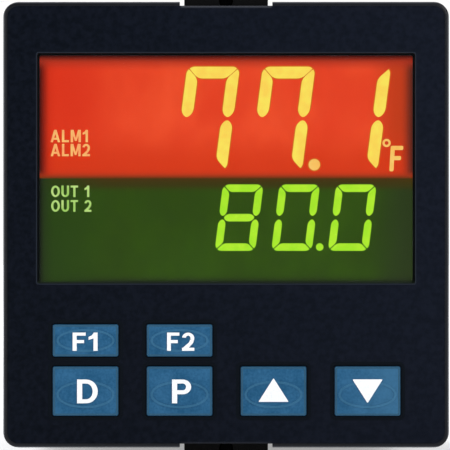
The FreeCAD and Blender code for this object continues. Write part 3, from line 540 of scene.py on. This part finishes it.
FINISHES = {
    "bezel_black": moulded(
        "bezel_plastic",
        colour(8, 10, 15),
        colour(16, 19, 26),
        0.38,
        specular=0.2,
        # both marks are painted highlights; the one on the outer edge also stands for wear
        marks=[(rim_wear_and_highlight, RIM_WEAR_AND_HIGHLIGHT), (notch_glint, NOTCH_GLINT)],
    ),
    "overlay_navy": printed_film("overlay_film", colour(0, 4, 12), colour(17, 22, 34)),
    "window_clear": clear_window("window_plastic"),
    "lcd": dark_glass("lcd_glass_dark"),
    "light_red": light_guide("light_guide_red", colour(150, 36, 20), colour(222, 74, 50)),
    "light_green": light_guide("light_guide_green", colour(52, 96, 30), colour(96, 150, 56)),
    "holder_white": moulded("holder_plastic", colour(208, 208, 202), colour(232, 232, 228), 0.5),
    "key_blue": key_cap("key_plastic"),
    "switch_black": moulded("switch_plastic", *BLACKS, 0.45),
    "button_ivory": moulded("button_plastic", colour(196, 186, 154), colour(222, 214, 188), 0.45),
    "gasket_rubber": moulded(
        "gasket_rubber", colour(17, 17, 18), colour(30, 30, 31), 0.86, grain=0.5, depth=0.04
    ),
    "case_black": moulded("case_plastic", *BLACKS, 0.52, grain=0.42, depth=0.035),
    # painted shade: the latch's black is made darker still, for the shade it lies in behind the bezel
    "latch_black": moulded(
        "latch_plastic", colour(3, 3, 4), colour(8, 8, 9), 0.48, grain=0.3, specular=0.1
    ),
    "board_green": circuit_board("circuit_board"),
    "connector_black": moulded("connector_plastic", *BLACKS, 0.4),
    "steel_plated": plated("plated_steel", *STEELS),
    "core_steel": laminated("laminated_core"),
    "coil_tape": taped("coil_tape"),
    "can_sleeve": moulded("can_sleeve", colour(22, 26, 52), colour(36, 42, 78), 0.3),
    "relay_blue": moulded("relay_plastic", colour(26, 66, 138), colour(42, 92, 172), 0.3),
    "varistor_blue": moulded("varistor_coat", colour(34, 82, 158), colour(58, 112, 190), 0.35),
    "chip_black": moulded("chip_plastic", *BLACKS, 0.6),
    "contact_tin": plated("tinned_brass", colour(168, 160, 138), colour(212, 206, 186), 0.36),
    "terminal_black": moulded("terminal_plastic", colour(19, 19, 21), colour(33, 33, 36), 0.48),
}

LIT = {
    "yellow": glowing("lit_yellow", colour(255, 215, 86), colour(255, 230, 92), 1.03),
    "amber": glowing("lit_amber", colour(255, 194, 94), colour(255, 206, 110)),
    "orange": glowing("lit_orange", colour(206, 100, 26), colour(214, 112, 30)),
    "lime": glowing("lit_lime", colour(168, 236, 42), colour(184, 242, 50)),
    "moss": glowing("lit_moss", colour(54, 112, 20), colour(66, 128, 26)),
    "peach": glowing("lit_peach", colour(255, 166, 102), colour(255, 200, 116)),
    "fern": glowing("lit_fern", colour(160, 208, 100), colour(192, 226, 132)),
}


def dress_cad_nodes():
    """Every CAD node gets the finish of its slot in the record."""
    for part in frame["record"]["subparts"]:
        node = frame["nodes"][part["node"]]
        node.data.materials.clear()
        node.data.materials.append(FINISHES[part["material_slot"]])


# ---- outlines ------------------------------------------------------------------------------


def arc(centre_x, centre_z, radius, start, end, steps=7):
    """Points along an arc between two angles in degrees."""
    angles = [math.radians(start + (end - start) * i / steps) for i in range(steps + 1)]
    return [(centre_x + radius * math.cos(a), centre_z + radius * math.sin(a)) for a in angles]


def circle(x, z, radius, points=24):
    """The outline of a circle."""
    return arc(x, z, radius, 0, 360 - 360 / points, points - 1)


def block(left, right, bottom, top):
    """The outline of a rectangle."""
    return [(left, bottom), (right, bottom), (right, top), (left, top)]


def rounded(low_x, high_x, low_z, high_z, radius):
    """The outline of a rounded rectangle."""
    corners = [
        (high_x - radius, high_z - radius, 0),
        (low_x + radius, high_z - radius, 90),
        (low_x + radius, low_z + radius, 180),
        (high_x - radius, low_z + radius, 270),
    ]
    return [p for x, z, start in corners for p in arc(x, z, radius, start, start + 90)]


def shrunk(limits, by):
    """Limits (low x, high x, low z, high z), drawn in on all sides."""
    low_x, high_x, low_z, high_z = limits
    return low_x + by, high_x - by, low_z + by, high_z - by


def softened(outline, radius, steps=4):
    """The outline with its corners worn round. Each corner becomes a short curve."""
    points = []
    for before, corner, after in zip(outline[-1:] + outline[:-1], outline, outline[1:] + outline[:1]):
        ends = []
        for other in (before, after):
            length = math.dist(corner, other)
            share = min(radius, length / 2) / length
            ends.append([c + (o - c) * share for c, o in zip(corner, other)])
        for i in range(steps + 1):
            t = i / steps
            weights = ((1 - t) ** 2, 2 * t * (1 - t), t**2)
            trio = zip(ends[0], corner, ends[1])
            points.append(tuple(sum(w * v for w, v in zip(weights, values)) for values in trio))
    return points


def in_metres(outline):
    """The metres of an outline that is given in millimetres."""
    return [(x * MM, z * MM) for x, z in outline]


# ---- mesh helpers (metres) -----------------------------------------------------------------


def add_piece(name, mesh, material, body=BASE_BODY, slot=None):
    """Puts a mesh in the scene as a piece that rides on a body."""
    piece = bpy.data.objects.new(name, mesh)
    bpy.context.scene.collection.objects.link(piece)
    mesh.materials.clear()
    mesh.materials.append(material)
    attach(piece, body)
    return piece


def mesh_of(name, build):
    """A new mesh filled by build(bm), with its normals facing out."""
    bm = bmesh.new()
    build(bm)
    bmesh.ops.recalc_face_normals(bm, faces=bm.faces)
    mesh = bpy.data.meshes.new(name)
    bm.to_mesh(mesh)
    bm.free()
    return mesh


def add_walls(bm, first, second):
    """Joins two loops of vertices by a band of faces."""
    count = len(first)
    for i in range(count):
        j = (i + 1) % count
        bm.faces.new((first[i], first[j], second[j], second[i]))


def add_slab(bm, outline, front, thickness):
    """A flat plate from an (x, z) outline. Its front face looks along -Y."""
    rows = [[bm.verts.new((x, y, z)) for x, z in outline] for y in (front, front + thickness)]
    bm.faces.new(rows[0])
    bm.faces.new(reversed(rows[1]))
    add_walls(bm, rows[0], rows[1])


def slabs(name, outlines, front, material, **riding):
    """A piece of print: one thin plate for each outline."""

    def build(bm):
        for outline in outlines:
            add_slab(bm, outline, front, INK)

    return add_piece(name, mesh_of(name, build), material, **riding)


def band(name, outer, inner, front, material, **riding):
    """A thin frame between two outlines that have the same number of points. It serves for print, a lit
    sign, painted highlights and painted shade.
    """

    def build(bm):
        loops = []
        for outline in (outer, inner):
            for y in (front, front + INK):
                loops.append([bm.verts.new((x, y, z)) for x, z in outline])
        outer_front, outer_back, inner_front, inner_back = loops
        add_walls(bm, outer_front, inner_front)
        add_walls(bm, inner_front, inner_back)
        add_walls(bm, inner_back, outer_back)
        add_walls(bm, outer_back, outer_front)

    return add_piece(name, mesh_of(name, build), material, **riding)


def merged_slab(name, outlines, front, material, **riding):
    """A thin plate whose face is all that the overlapping outlines cover."""
    points, faces = [], []
    for outline in outlines:
        pairs = zip(outline, outline[1:] + outline[:1])
        anticlockwise = sum(x0 * z1 - x1 * z0 for (x0, z0), (x1, z1) in pairs) > 0
        faces.append(list(range(len(points), len(points) + len(outline))))
        ordered = outline if anticlockwise else outline[::-1]
        points += [Vector((x / MM, z / MM)) for x, z in ordered]
    result = delaunay_2d_cdt(points, [], faces, INSIDE_TRIANGLES, WELD_DISTANCE)
    corners, triangles, drawn_by = result[0], result[2], result[5]

    def build(bm):
        rows = []
        for y in (front, front + INK):
            rows.append([bm.verts.new((p.x * MM, y, p.y * MM)) for p in corners])
        sides = {}
        for face, outlines_here in zip(triangles, drawn_by):
            if not outlines_here:
                continue
            bm.faces.new([rows[0][i] for i in face])
            bm.faces.new([rows[1][i] for i in reversed(face)])
            for a, b in zip(face, face[1:] + face[:1]):
                sides[(a, b)] = True
        for a, b in sides:
            if (b, a) not in sides:
                bm.faces.new((rows[0][a], rows[0][b], rows[1][b], rows[1][a]))

    return add_piece(name, mesh_of(name, build), material, **riding)


# ---- lettering -----------------------------------------------------------------------------

# Strokes of bold capitals and figures, for a height of 1.
STEM = 0.2
BAR = 0.17
LETTER_GAP = 0.14
POST = block(0, STEM, 0, 1)
A_LEG = [(0, 0), (0.2, 0), (0.5, 1), (0.3, 1)]
M_SLOPE = [(0.02, 1), (0.24, 1), (0.49, 0.1), (0.35, 0.1)]
ONE_FLAG = [(0, 0.6), (0, 0.76), (0.16, 0.85), (0.27, 1), (0.4, 1), (0.4, 0.8), (0.2, 0.66)]
TWO_SLOPE = [(0, 0.02), (0.3, 0.1), (0.58, 0.44), (0.63, 0.62), (0.43, 0.62), (0.36, 0.46), (0, 0.13)]


def bow(x, z, reach_x, reach_z, start, end, steps=12):
    """A curved stroke: the part of an oval ring between two angles in degrees."""
    turn = [math.radians(start + (end - start) * i / steps) for i in range(steps + 1)]
    outer = [(x + reach_x * math.cos(a), z + reach_z * math.sin(a)) for a in turn]
    thin_x, thin_z = reach_x - STEM, reach_z - BAR
    return outer + [(x + thin_x * math.cos(a), z + thin_z * math.sin(a)) for a in reversed(turn)]


def mirrored(width, outline):
    """The outline, turned left to right within that width."""
    return [(width - x, z) for x, z in outline]


LETTERS = {  # the width of each, and its overlapping outlines
    "A": (0.8, [A_LEG, mirrored(0.8, A_LEG), block(0.15, 0.65, 0.2, 0.36)]),
    "D": (
        0.8,
        [
            POST,
            bow(0.36, 0.5, 0.44, 0.5, -90, 90),
            block(0.1, 0.36, 0, BAR),
            block(0.1, 0.36, 1 - BAR, 1),
        ],
    ),
    "F": (0.64, [POST, block(0.1, 0.64, 1 - BAR, 1), block(0.1, 0.56, 0.42, 0.42 + BAR)]),
    "L": (0.58, [POST, block(0.1, 0.58, 0, BAR)]),
    "M": (0.84, [POST, block(0.84 - STEM, 0.84, 0, 1), M_SLOPE, mirrored(0.84, M_SLOPE)]),
    "O": (0.8, [bow(0.4, 0.5, 0.4, 0.5, -10, 190), bow(0.4, 0.5, 0.4, 0.5, 165, 375)]),
    "P": (
        0.74,
        [
            POST,
            bow(0.42, 0.69, 0.32, 0.31, -90, 90),
            block(0.1, 0.42, 0.38, 0.38 + BAR),
            block(0.1, 0.42, 1 - BAR, 1),
        ],
    ),
    "T": (0.68, [block(0, 0.68, 1 - BAR, 1), block(0.34 - STEM / 2, 0.34 + STEM / 2, 0, 1)]),
    "U": (
        0.7,
        [
            block(0, STEM, 0.33, 1),
            block(0.7 - STEM, 0.7, 0.33, 1),
            bow(0.35, 0.35, 0.35, 0.35, 180, 360),
        ],
    ),
    "1": (0.44, [ONE_FLAG, block(0.44 - STEM, 0.44, 0, 1)]),
    "2": (0.64, [bow(0.32, 0.69, 0.32, 0.31, -20, 172), TWO_SLOPE, block(0, 0.64, 0, BAR)]),
    " ": (0.3, []),
}


def word_shapes(text, left, right, bottom, top):
    """The outlines of a word, stretched to fill the given limits."""
    shapes = []
    x = 0.0
    for letter in text:
        width, outlines = LETTERS[letter]
        shapes += [[(x + px, pz) for px, pz in outline] for outline in outlines]
        x += width + LETTER_GAP
    across, up = (right - left) / (x - LETTER_GAP), top - bottom
    return [in_metres([(left + px * across, bottom + pz * up) for px, pz in shape]) for shape in shapes]


def words(name, entries, front, material, **riding):
    """A piece of print that holds several words."""
    outlines = [outline for entry in entries for outline in word_shapes(*entry)]
    return merged_slab(name, outlines, front, material, **riding)


def unit_letter():
    """The strokes of the thin F beside the main reading, leaning a little."""
    u = UNIT_LETTER
    left, low, stroke = u["left"], u["bottom"], u["stroke"]
    top, right, waist = low + u["height"], left + u["width"], low + u["height"] * u["waist"]
    inside = left + STROKE_OVERLAP
    strokes = [
        block(left, left + stroke, low, top),
        block(inside, right, top - stroke, top),
        block(inside, right - u["short"], waist - stroke / 2, waist + stroke / 2),
    ]
    worn = [softened(outline, UNIT_SOFTENING) for outline in strokes]
    return [in_metres([(x + u["lean"] * (z - low), z) for x, z in outline]) for outline in worn]


# ---- the display ---------------------------------------------------------------------------


def digit_bars(width, height, stroke, gap, waist, corner):
    """The seven bars of an upright digit, by letter, with its lower left corner at the origin.

    Bars meet at the corners on mitred joints and end in points where they meet half way up.
    """
    half, middle = stroke / 2, height / 2
    step = gap / math.sqrt(2)
    turn = math.degrees(gap / 2 / corner)
    inner_x, inner_z = width - stroke, height - stroke
    top = (
        arc(corner, height - corner, corner, 135 - turn, 90)
        + arc(width - corner, height - corner, corner, 90, 45 + turn)
        + [(inner_x - step, inner_z), (stroke + step, inner_z)]
    )
    upper_right = arc(width - corner, height - corner, corner, 45 - turn, 0) + [
        (width, middle + half + waist),
        (width - half, middle + waist),
        (inner_x, middle + half + waist),
        (inner_x, inner_z - step),
    ]
    centre = [
        (half + step, middle),
        (stroke + step, middle - half),
        (inner_x - step, middle - half),
        (width - half - step, middle),
        (inner_x - step, middle + half),
        (stroke + step, middle + half),
    ]

    def below(points):
        return [(x, height - z) for x, z in points]

    return {
        "a": top,
        "b": upper_right,
        "c": below(upper_right),
        "d": below(top),
        "e": mirrored(width, below(upper_right)),
        "f": mirrored(width, upper_right),
        "g": centre,
    }


def reading(line, inset=0.0):
    """The outlines of a whole line of digits, drawn in on all sides by the inset.

    With no inset the bars are their rims, which touch, so there is no gap between them.
    """
    bars = digit_bars(
        line["width"] - 2 * inset,
        line["height"] - 2 * inset,
        line["stroke"] - 2 * inset,
        line["gap"] if inset else 0.0,
        line["waist"],
        line["corner"] - inset,
    )
    outlines = []
    left = line["left"]
    for letter in line["text"].replace(".", ""):
        for bar in BARS_OF[letter]:
            points = [(x + inset, z + inset) for x, z in softened(bars[bar], line["soften"])]
            outlines.append([(left + x + line["lean"] * z, line["bottom"] + z) for x, z in points])
        left += line["pitch"]
    return [in_metres(outline) for outline in outlines]


def decimal_point(line, inset=0.0):
    x = line["left"] + line["dot_advance"]
    z = line["bottom"] + line["dot_drop"]
    return in_metres(circle(x, z, line["dot_radius"] - inset))


def view_limits():
    """The limits of the display that show through the window."""
    low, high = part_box("display_window")
    return shrunk((low.x, high.x, low.z, high.z), VIEW_LEDGE * MM)


def field_split():
    """The height at which the upper lit field meets the lower one."""
    return (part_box("backlight_upper")[0].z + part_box("backlight_lower")[1].z) / 2


def display_layers():
    """The places along Y of the rims of the bars, and of the bars in front of them."""
    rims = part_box("lcd_glass")[0].y - RIM_LIFT * MM
    return rims, rims - 2 * INK


def upper_field_finish():
    left, right, _, top = view_limits()
    split = field_split()
    fades = [
        ("X", left, 6, 24, colour(224, 50, 20), 0.85),
        ("X", right, -3, -10, colour(194, 60, 20), 0.9),
        ("Z", split, 2, 12, colour(218, 56, 16), 0.85),
        ("X", left, 0, 4, colour(202, 42, 12), 1.0),
        ("X", left, -0.3, 2.4, colour(60, 16, 12), 1.0),
        ("X", right, 0.2, -2.8, colour(84, 38, 28), 1.0),
        ("Z", top, -0.4, -3.6, colour(172, 50, 30), 1.0),
        ("Z", top, 0.3, -1.6, colour(22, 8, 8), 1.0),
        ("Z", split, 0.1, 1.9, colour(170, 54, 24), 1.0),
        ("Z", split, -0.3, 0.9, colour(84, 50, 6), 1.0),
    ]
    tones = (colour(236, 68, 34), colour(246, 82, 42), colour(224, 58, 24))
    return display_zone("lit_field_upper", *tones, fades)


def lower_field_finish():
    left, right, bottom, _ = view_limits()
    split = field_split()
    fades = [
        ("X", right, 0, -12, colour(42, 58, 24), 1.0),
        ("Z", bottom, -0.6, 1.6, colour(30, 36, 24), 1.0),
        ("Z", split, -1.3, -2.9, colour(60, 54, 10), 1.0),
        ("Z", split, 0.1, -1.2, colour(74, 50, 6), 1.0),
        ("X", left, 3, 16, colour(38, 64, 14), 0.8),
        ("X", left, 0, 3, colour(36, 52, 22), 1.0),
        ("X", left, -0.3, 1.2, colour(20, 26, 16), 1.0),
    ]
    tones = (colour(46, 73, 8), colour(50, 82, 8), colour(38, 66, 12))
    return display_zone("lit_field_lower", *tones, fades)


def build_lit_fields():
    """The two lit fields on the glass, one above the other."""
    low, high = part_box("lcd_glass")
    margin = FIELD_MARGIN * MM
    left, right, top = low.x + margin, high.x - margin, high.z - margin
    bottom = low.z + CONTACT_STRIP * MM
    split = field_split()
    front = low.y - INK
    slabs("lit_field_upper", [block(left, right, split, top)], front, upper_field_finish())
    slabs("lit_field_lower", [block(left, right, bottom, split)], front, lower_field_finish())


def build_readings():
    """Both lines of digits. Each bar stands in front of a larger, darker one that shows as its rim."""
    rim_front, bar_front = display_layers()
    lines = (
        ("main_reading", MAIN_LINE, LIT["yellow"], LIT["orange"], LIT["amber"]),
        ("set_reading", SET_LINE, LIT["lime"], LIT["moss"], LIT["lime"]),
    )
    for name, line, bright, rim, dot in lines:
        merged_slab(name + "_rims", reading(line) + [decimal_point(line)], rim_front, rim)
        slabs(name, reading(line, line["rim"]), bar_front, bright)
        slabs(name + "_point", [decimal_point(line, line["rim"])], bar_front, dot)


def build_signs():
    """The unit beside the main reading, and the words at the left of both fields."""
    _, front = display_layers()
    x, z = UNIT_RING["x"], UNIT_RING["z"]
    outer, inner = (in_metres(circle(x, z, UNIT_RING[edge])) for edge in ("outer", "inner"))
    band("unit_ring", outer, inner, front, LIT["amber"])
    merged_slab("unit_letter", unit_letter(), front, LIT["amber"])
    words("alarm_labels", MAIN_LABELS, front, LIT["peach"])
    words("output_labels", SET_LABELS, front, LIT["fern"])


# ---- printing, painted highlights and painted shade on the front ---------------------------


def build_window_edges():
    """The painted shade on the window's rim, and the pale cut edge of the overlay beside it, a painted
    highlight.
    """
    low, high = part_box("display_window")

    def edge(by):
        limits = shrunk((low.x, high.x, low.z, high.z), by * MM)
        return rounded(*limits, WINDOW_CORNER * MM)

    # painted shade on the window's rim, with a painted highlight at its foot
    rim = painted_rim_shade("window_rim_shade", low.z)
    # painted highlight on the overlay's cut edge
    cut = ink("overlay_cut_edge_highlight", colour(30, 36, 45), colour(22, 27, 35))
    overlay_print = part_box("front_overlay")[0].y - INK
    band("window_rim", edge(0), edge(VIEW_LEDGE), low.y - INK, rim, slot="window_clear")
    band(
        "overlay_cut_edge_highlight",
        edge(-CUT_EDGE_HIGHLIGHT),
        edge(-WINDOW_GAP),
        overlay_print,
        cut,
        slot="overlay_navy",
    )


def key_face(node):
    """The limits of a key's cap seen from the front, and the foremost place on it along Y."""
    low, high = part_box(node)
    return shrunk((low.x, high.x, low.z, high.z), KEY_FLANGE * MM), low.y


def add_key_edge_highlight(node, limits, front, material):
    """A narrow pale band just inside the cap's bevel, a painted highlight of the cap's edge."""
    corner = (KEY_CORNER - KEY_BEVEL) * MM
    outer = rounded(*shrunk(limits, KEY_BEVEL * MM), corner)
    inner = rounded(*shrunk(limits, (KEY_BEVEL + KEY_EDGE_HIGHLIGHT) * MM), KEY_CORNER * MM / 4)
    band(node + "_border", outer, inner, front, material, body=node, slot="key_blue")


def add_key_surround_shade(node, limits, front, material):
    """Painted shade: a dark band on the overlay, round the opening that the key stands in."""
    opening = shrunk(limits, -KEY_OPENING_GAP * MM)
    outer = rounded(*shrunk(opening, -KEY_SURROUND_SHADE * MM), (KEY_CORNER + KEY_SURROUND_SHADE) * MM)
    inner = rounded(*opening, KEY_CORNER * MM)
    band(node + "_surround", outer, inner, front, material, slot="overlay_navy")


def add_key_legend(node, limits, front, material):
    """The letters or the arrow on a key."""
    middle_x = (limits[0] + limits[1]) / 2 / MM
    middle_z = (limits[2] + limits[3]) / 2 / MM
    if node in KEY_LEGENDS:
        text, width, height, right, up = KEY_LEGENDS[node]
        x, z = middle_x + right, middle_z + up
        entry = (text, x - width / 2, x + width / 2, z - height / 2, z + height / 2)
        words(node + "_legend", [entry], front, material, body=node)
        return
    way = KEY_ARROWS[node]
    half, rise = ARROW_WIDTH / 2, way * ARROW_HEIGHT / 2
    z = middle_z + ARROW_RISE + way * ARROW_SET
    arrow = [(middle_x - half, z - rise), (middle_x + half, z - rise), (middle_x, z + rise)]
    outline = in_metres(softened(arrow, ARROW_SOFTENING))
    slabs(node + "_legend", [outline], front, material, body=node)


def build_key_printing():
    white = ink("legend_white", colour(246, 248, 250), colour(214, 222, 230))
    # painted highlight round each key's face
    pale = ink("key_edge_highlight", colour(48, 86, 110), colour(36, 74, 98))
    # painted shade round each key's opening
    dark = ink("surround_ink", colour(1, 7, 16), colour(6, 13, 22))
    overlay_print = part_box("front_overlay")[0].y - INK
    for node in sorted(n for n in frame["nodes"] if n.startswith("key_")):
        limits, ring_front = key_face(node)
        add_key_edge_highlight(node, limits, ring_front + KEY_RING_HEIGHT * MM - INK, pale)
        add_key_surround_shade(node, limits, overlay_print, dark)
        add_key_legend(node, limits, ring_front - 2 * INK, white)


# ---- screws --------------------------------------------------------------------------------


def add_lathed(bm, profile, steps, twist=None):
    """Turns a (radius, y) profile about the Y axis. twist(radius, y, angle) may change the radius."""
    rings = []
    for radius, y in profile:
        ring = []
        for i in range(steps):
            a = 2 * math.pi * i / steps
            r = radius if twist is None else twist(radius, y, a)
            ring.append(bm.verts.new((r * math.cos(a), y, r * math.sin(a))))
        rings.append(ring)
    for first, second in zip(rings, rings[1:]):
        add_walls(bm, first, second)
    bm.faces.new(rings[0])
    bm.faces.new(reversed(rings[-1]))


def shaft_profile(tip, neck, shank):
    """The rings along a shaft, close enough together to carry its thread."""
    rows = int((neck - tip) / (THREAD_PITCH * MM) * RINGS_PER_TURN)
    rings = [(shank, tip + (neck - tip) * (i + 1) / (rows + 1)) for i in range(rows)]
    return [(shank - THREAD_DEPTH * MM, tip), *rings, (shank, neck)]


def head_profile(neck, top, head):
    """The rings of a pan head with a rounded edge."""
    rounding = (top - neck) * HEAD_ROUNDING
    rings = [(head, neck), (head, top - rounding)]
    for i in range(1, DOME_STEPS):
        a = math.radians(90 * i / DOME_STEPS)
        rings.append((head - rounding * (1 - math.cos(a)), top - rounding * (1 - math.sin(a))))
    return [*rings, (head - rounding, top)]


def recessed(name, mesh, top, height, head):
    """The screw's mesh with a cross cut into its head."""
    long, wide, sunk = head * RECESS_REACH, head * RECESS_HALF_WIDTH, height * RECESS_DEPTH

    def cross(bm):
        arm = block(-long, long, -wide, wide)
        add_slab(bm, arm, top - sunk, sunk * 2)
        add_slab(bm, [(z, -x) for x, z in arm], top - sunk, sunk * 2)

    solid = bpy.data.objects.new(name, mesh)
    cutter = bpy.data.objects.new(name + "_cutter", mesh_of(name + "_cutter", cross))
    for helper in (solid, cutter):
        bpy.context.scene.collection.objects.link(helper)
    cut = solid.modifiers.new("recess", "BOOLEAN")
    cut.operation = "DIFFERENCE"
    cut.use_self = True
    cut.object = cutter
    bpy.context.view_layer.update()
    depsgraph = bpy.context.evaluated_depsgraph_get()
    result = bpy.data.meshes.new_from_object(solid.evaluated_get(depsgraph))
    for helper in (solid, cutter):
        bpy.data.objects.remove(helper)
    return result


def screw_mesh(name, tip, neck, top, head):
    """A pan-head screw along Y, centred on the axis, with a cut thread and a cross recess.

    tip, neck and top are the places of its point, the head's underside and the head's top.
    """
    pitch, depth = THREAD_PITCH * MM, THREAD_DEPTH * MM

    def thread(radius, y, angle):
        if y <= tip + pitch / 2 or y >= neck - pitch / 2:
            return radius
        phase = (y / pitch - angle / (2 * math.pi)) % 1.0
        return radius - depth * abs(2 * phase - 1)

    def build(bm):
        add_lathed(bm, shaft_profile(tip, neck, SCREW_RADIUS * MM), SHAFT_STEPS, thread)
        add_lathed(bm, head_profile(neck, top, head), HEAD_STEPS)

    return recessed(name, mesh_of(name, build), top, top - neck, head)


def copies(name, mesh, places):
    """One mesh that holds a copy of the given one at each (x, z)."""
    bm = bmesh.new()
    for x, z in places:
        start = len(bm.verts)
        bm.from_mesh(mesh)
        bm.verts.ensure_lookup_table()
        bmesh.ops.translate(bm, verts=bm.verts[start:], vec=(x, 0, z))
    made = bpy.data.meshes.new(name)
    bm.to_mesh(made)
    bm.free()
    return made


def replace_screws(node, head_height, places, finish, body=BASE_BODY):
    """Threaded screws with cut heads stand for the plain ones of a CAD node."""
    low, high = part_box(node)
    head = (high.z - low.z) / 2
    one = screw_mesh(node + "_one", low.y, high.y - head_height * MM, high.y, head)
    name = node + "_cut"
    piece = add_piece(name, copies(name, one, places), finish, body=body, slot="steel_plated")
    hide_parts(node)


def terminal_places(row, z):
    """The axes of the screws in the upper or the lower row, one in the middle of each pole."""
    places = []
    for side in ("left", "right"):
        low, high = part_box("terminal_strip_%s_%s" % (row, side))
        pitch = (high.x - low.x - BARRIER * MM) / POLES
        first = low.x + (BARRIER * MM + pitch) / 2
        places += [(first + pole * pitch, z) for pole in range(POLES)]
    return places


def middle_of(node):
    """Where the node's middle lies along X and Z."""
    low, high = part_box(node)
    return (low.x + high.x) / 2, (low.z + high.z) / 2


def build_screws():
    for row in ("upper", "lower"):
        node = "terminal_screws_" + row
        _, z = middle_of(node)
        replace_screws(node, TERMINAL_HEAD, terminal_places(row, z), FINISHES["steel_plated"])
    for which in ("top", "bottom"):
        node = "latch_screw_" + which
        finish = plated(node + "_steel", *STEELS, tip=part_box(node)[0].y)
        replace_screws(node, JACK_HEAD, [middle_of(node)], finish, body=which + "_screw")


# ---- stage, light and camera ---------------------------------------------------------------


def build_stage():
    """A plain pale floor under the lowest point, lit a little from within so that shadows stay soft.

    It grows lighter away from the object, until it meets the white of the room.
    """
    f = Finish("pale_floor", Roughness=0.8, Specular_IOR_Level=0.2, Emission_Color=colour(255, 255, 255))
    f.feed("Base Color", f.mix(f.noise(60, 2), colour(236, 236, 236), colour(244, 244, 244)))
    away = f.node("ShaderNodeVectorMath", operation="LENGTH")
    f.join(f.place((1, 1, 0)), away.inputs[0])
    glow = f.spread(away.outputs["Value"], *FLOOR_GLOW_DISTANCES, *FLOOR_GLOW, smooth=True)
    f.feed("Emission Strength", glow)

    def build(bm):
        corners = block(-FLOOR_REACH, FLOOR_REACH, -FLOOR_REACH, FLOOR_REACH)
        bm.faces.new([bm.verts.new((x, y, cad_low.z)) for x, y in corners])

    mesh = mesh_of("floor", build)
    mesh.materials.append(f.material)
    floor = bpy.data.objects.new("floor", mesh)
    bpy.context.scene.collection.objects.link(floor)


def build_lights():
    """Soft light from both sides and above."""
    for name, place, size, power in LIGHTS:
        data = bpy.data.lights.new(name, "AREA")
        data.size = size
        data.energy = power
        light = bpy.data.objects.new(name, data)
        light.location = place
        light.rotation_mode = "QUATERNION"
        light.rotation_quaternion = (Vector(LIGHT_AIM) - Vector(place)).to_track_quat("-Z", "Y")
        light.visible_camera = False
        bpy.context.scene.collection.objects.link(light)


def build_room():
    """A pale room that lights the object dimly and looks white behind it."""
    world = bpy.data.worlds.new("pale_room")
    bpy.context.scene.world = world
    world.use_nodes = True
    tree = world.node_tree
    room = tree.nodes["Background"]
    room.inputs["Color"].default_value = ROOM_COLOUR
    room.inputs["Strength"].default_value = ROOM_STRENGTH
    seen = tree.nodes.new("ShaderNodeBackground")
    seen.inputs["Color"].default_value = (1.0, 1.0, 1.0, 1.0)
    seen.inputs["Strength"].default_value = 1.0
    path = tree.nodes.new("ShaderNodeLightPath")
    choose = tree.nodes.new("ShaderNodeMixShader")
    tree.links.new(path.outputs["Is Camera Ray"], choose.inputs[0])
    tree.links.new(room.outputs[0], choose.inputs[1])
    tree.links.new(seen.outputs[0], choose.inputs[2])
    tree.links.new(choose.outputs[0], tree.nodes["World Output"].inputs["Surface"])


def build_camera():
    """A long lens, square on to the front, which fills the view but for a hair's breadth."""
    low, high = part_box("front_bezel")
    data = bpy.data.cameras.new("camera")
    data.sensor_width = SENSOR_WIDTH
    data.lens = SENSOR_WIDTH * CAMERA_DISTANCE / ((high.x - low.x) * VIEW_SHARE)
    camera = bpy.data.objects.new("camera", data)
    camera.location = (CAMERA_X, low.y - CAMERA_DISTANCE, CAMERA_Z)
    camera.rotation_euler = (math.pi / 2, 0, 0)
    bpy.context.scene.collection.objects.link(camera)
    bpy.context.scene.camera = camera


bpy.context.scene.view_settings.view_transform = "Standard"
dress_cad_nodes()
build_lit_fields()
build_readings()
build_signs()
build_window_edges()
build_key_printing()
build_screws()
build_stage()
build_lights()
build_room()
build_camera()
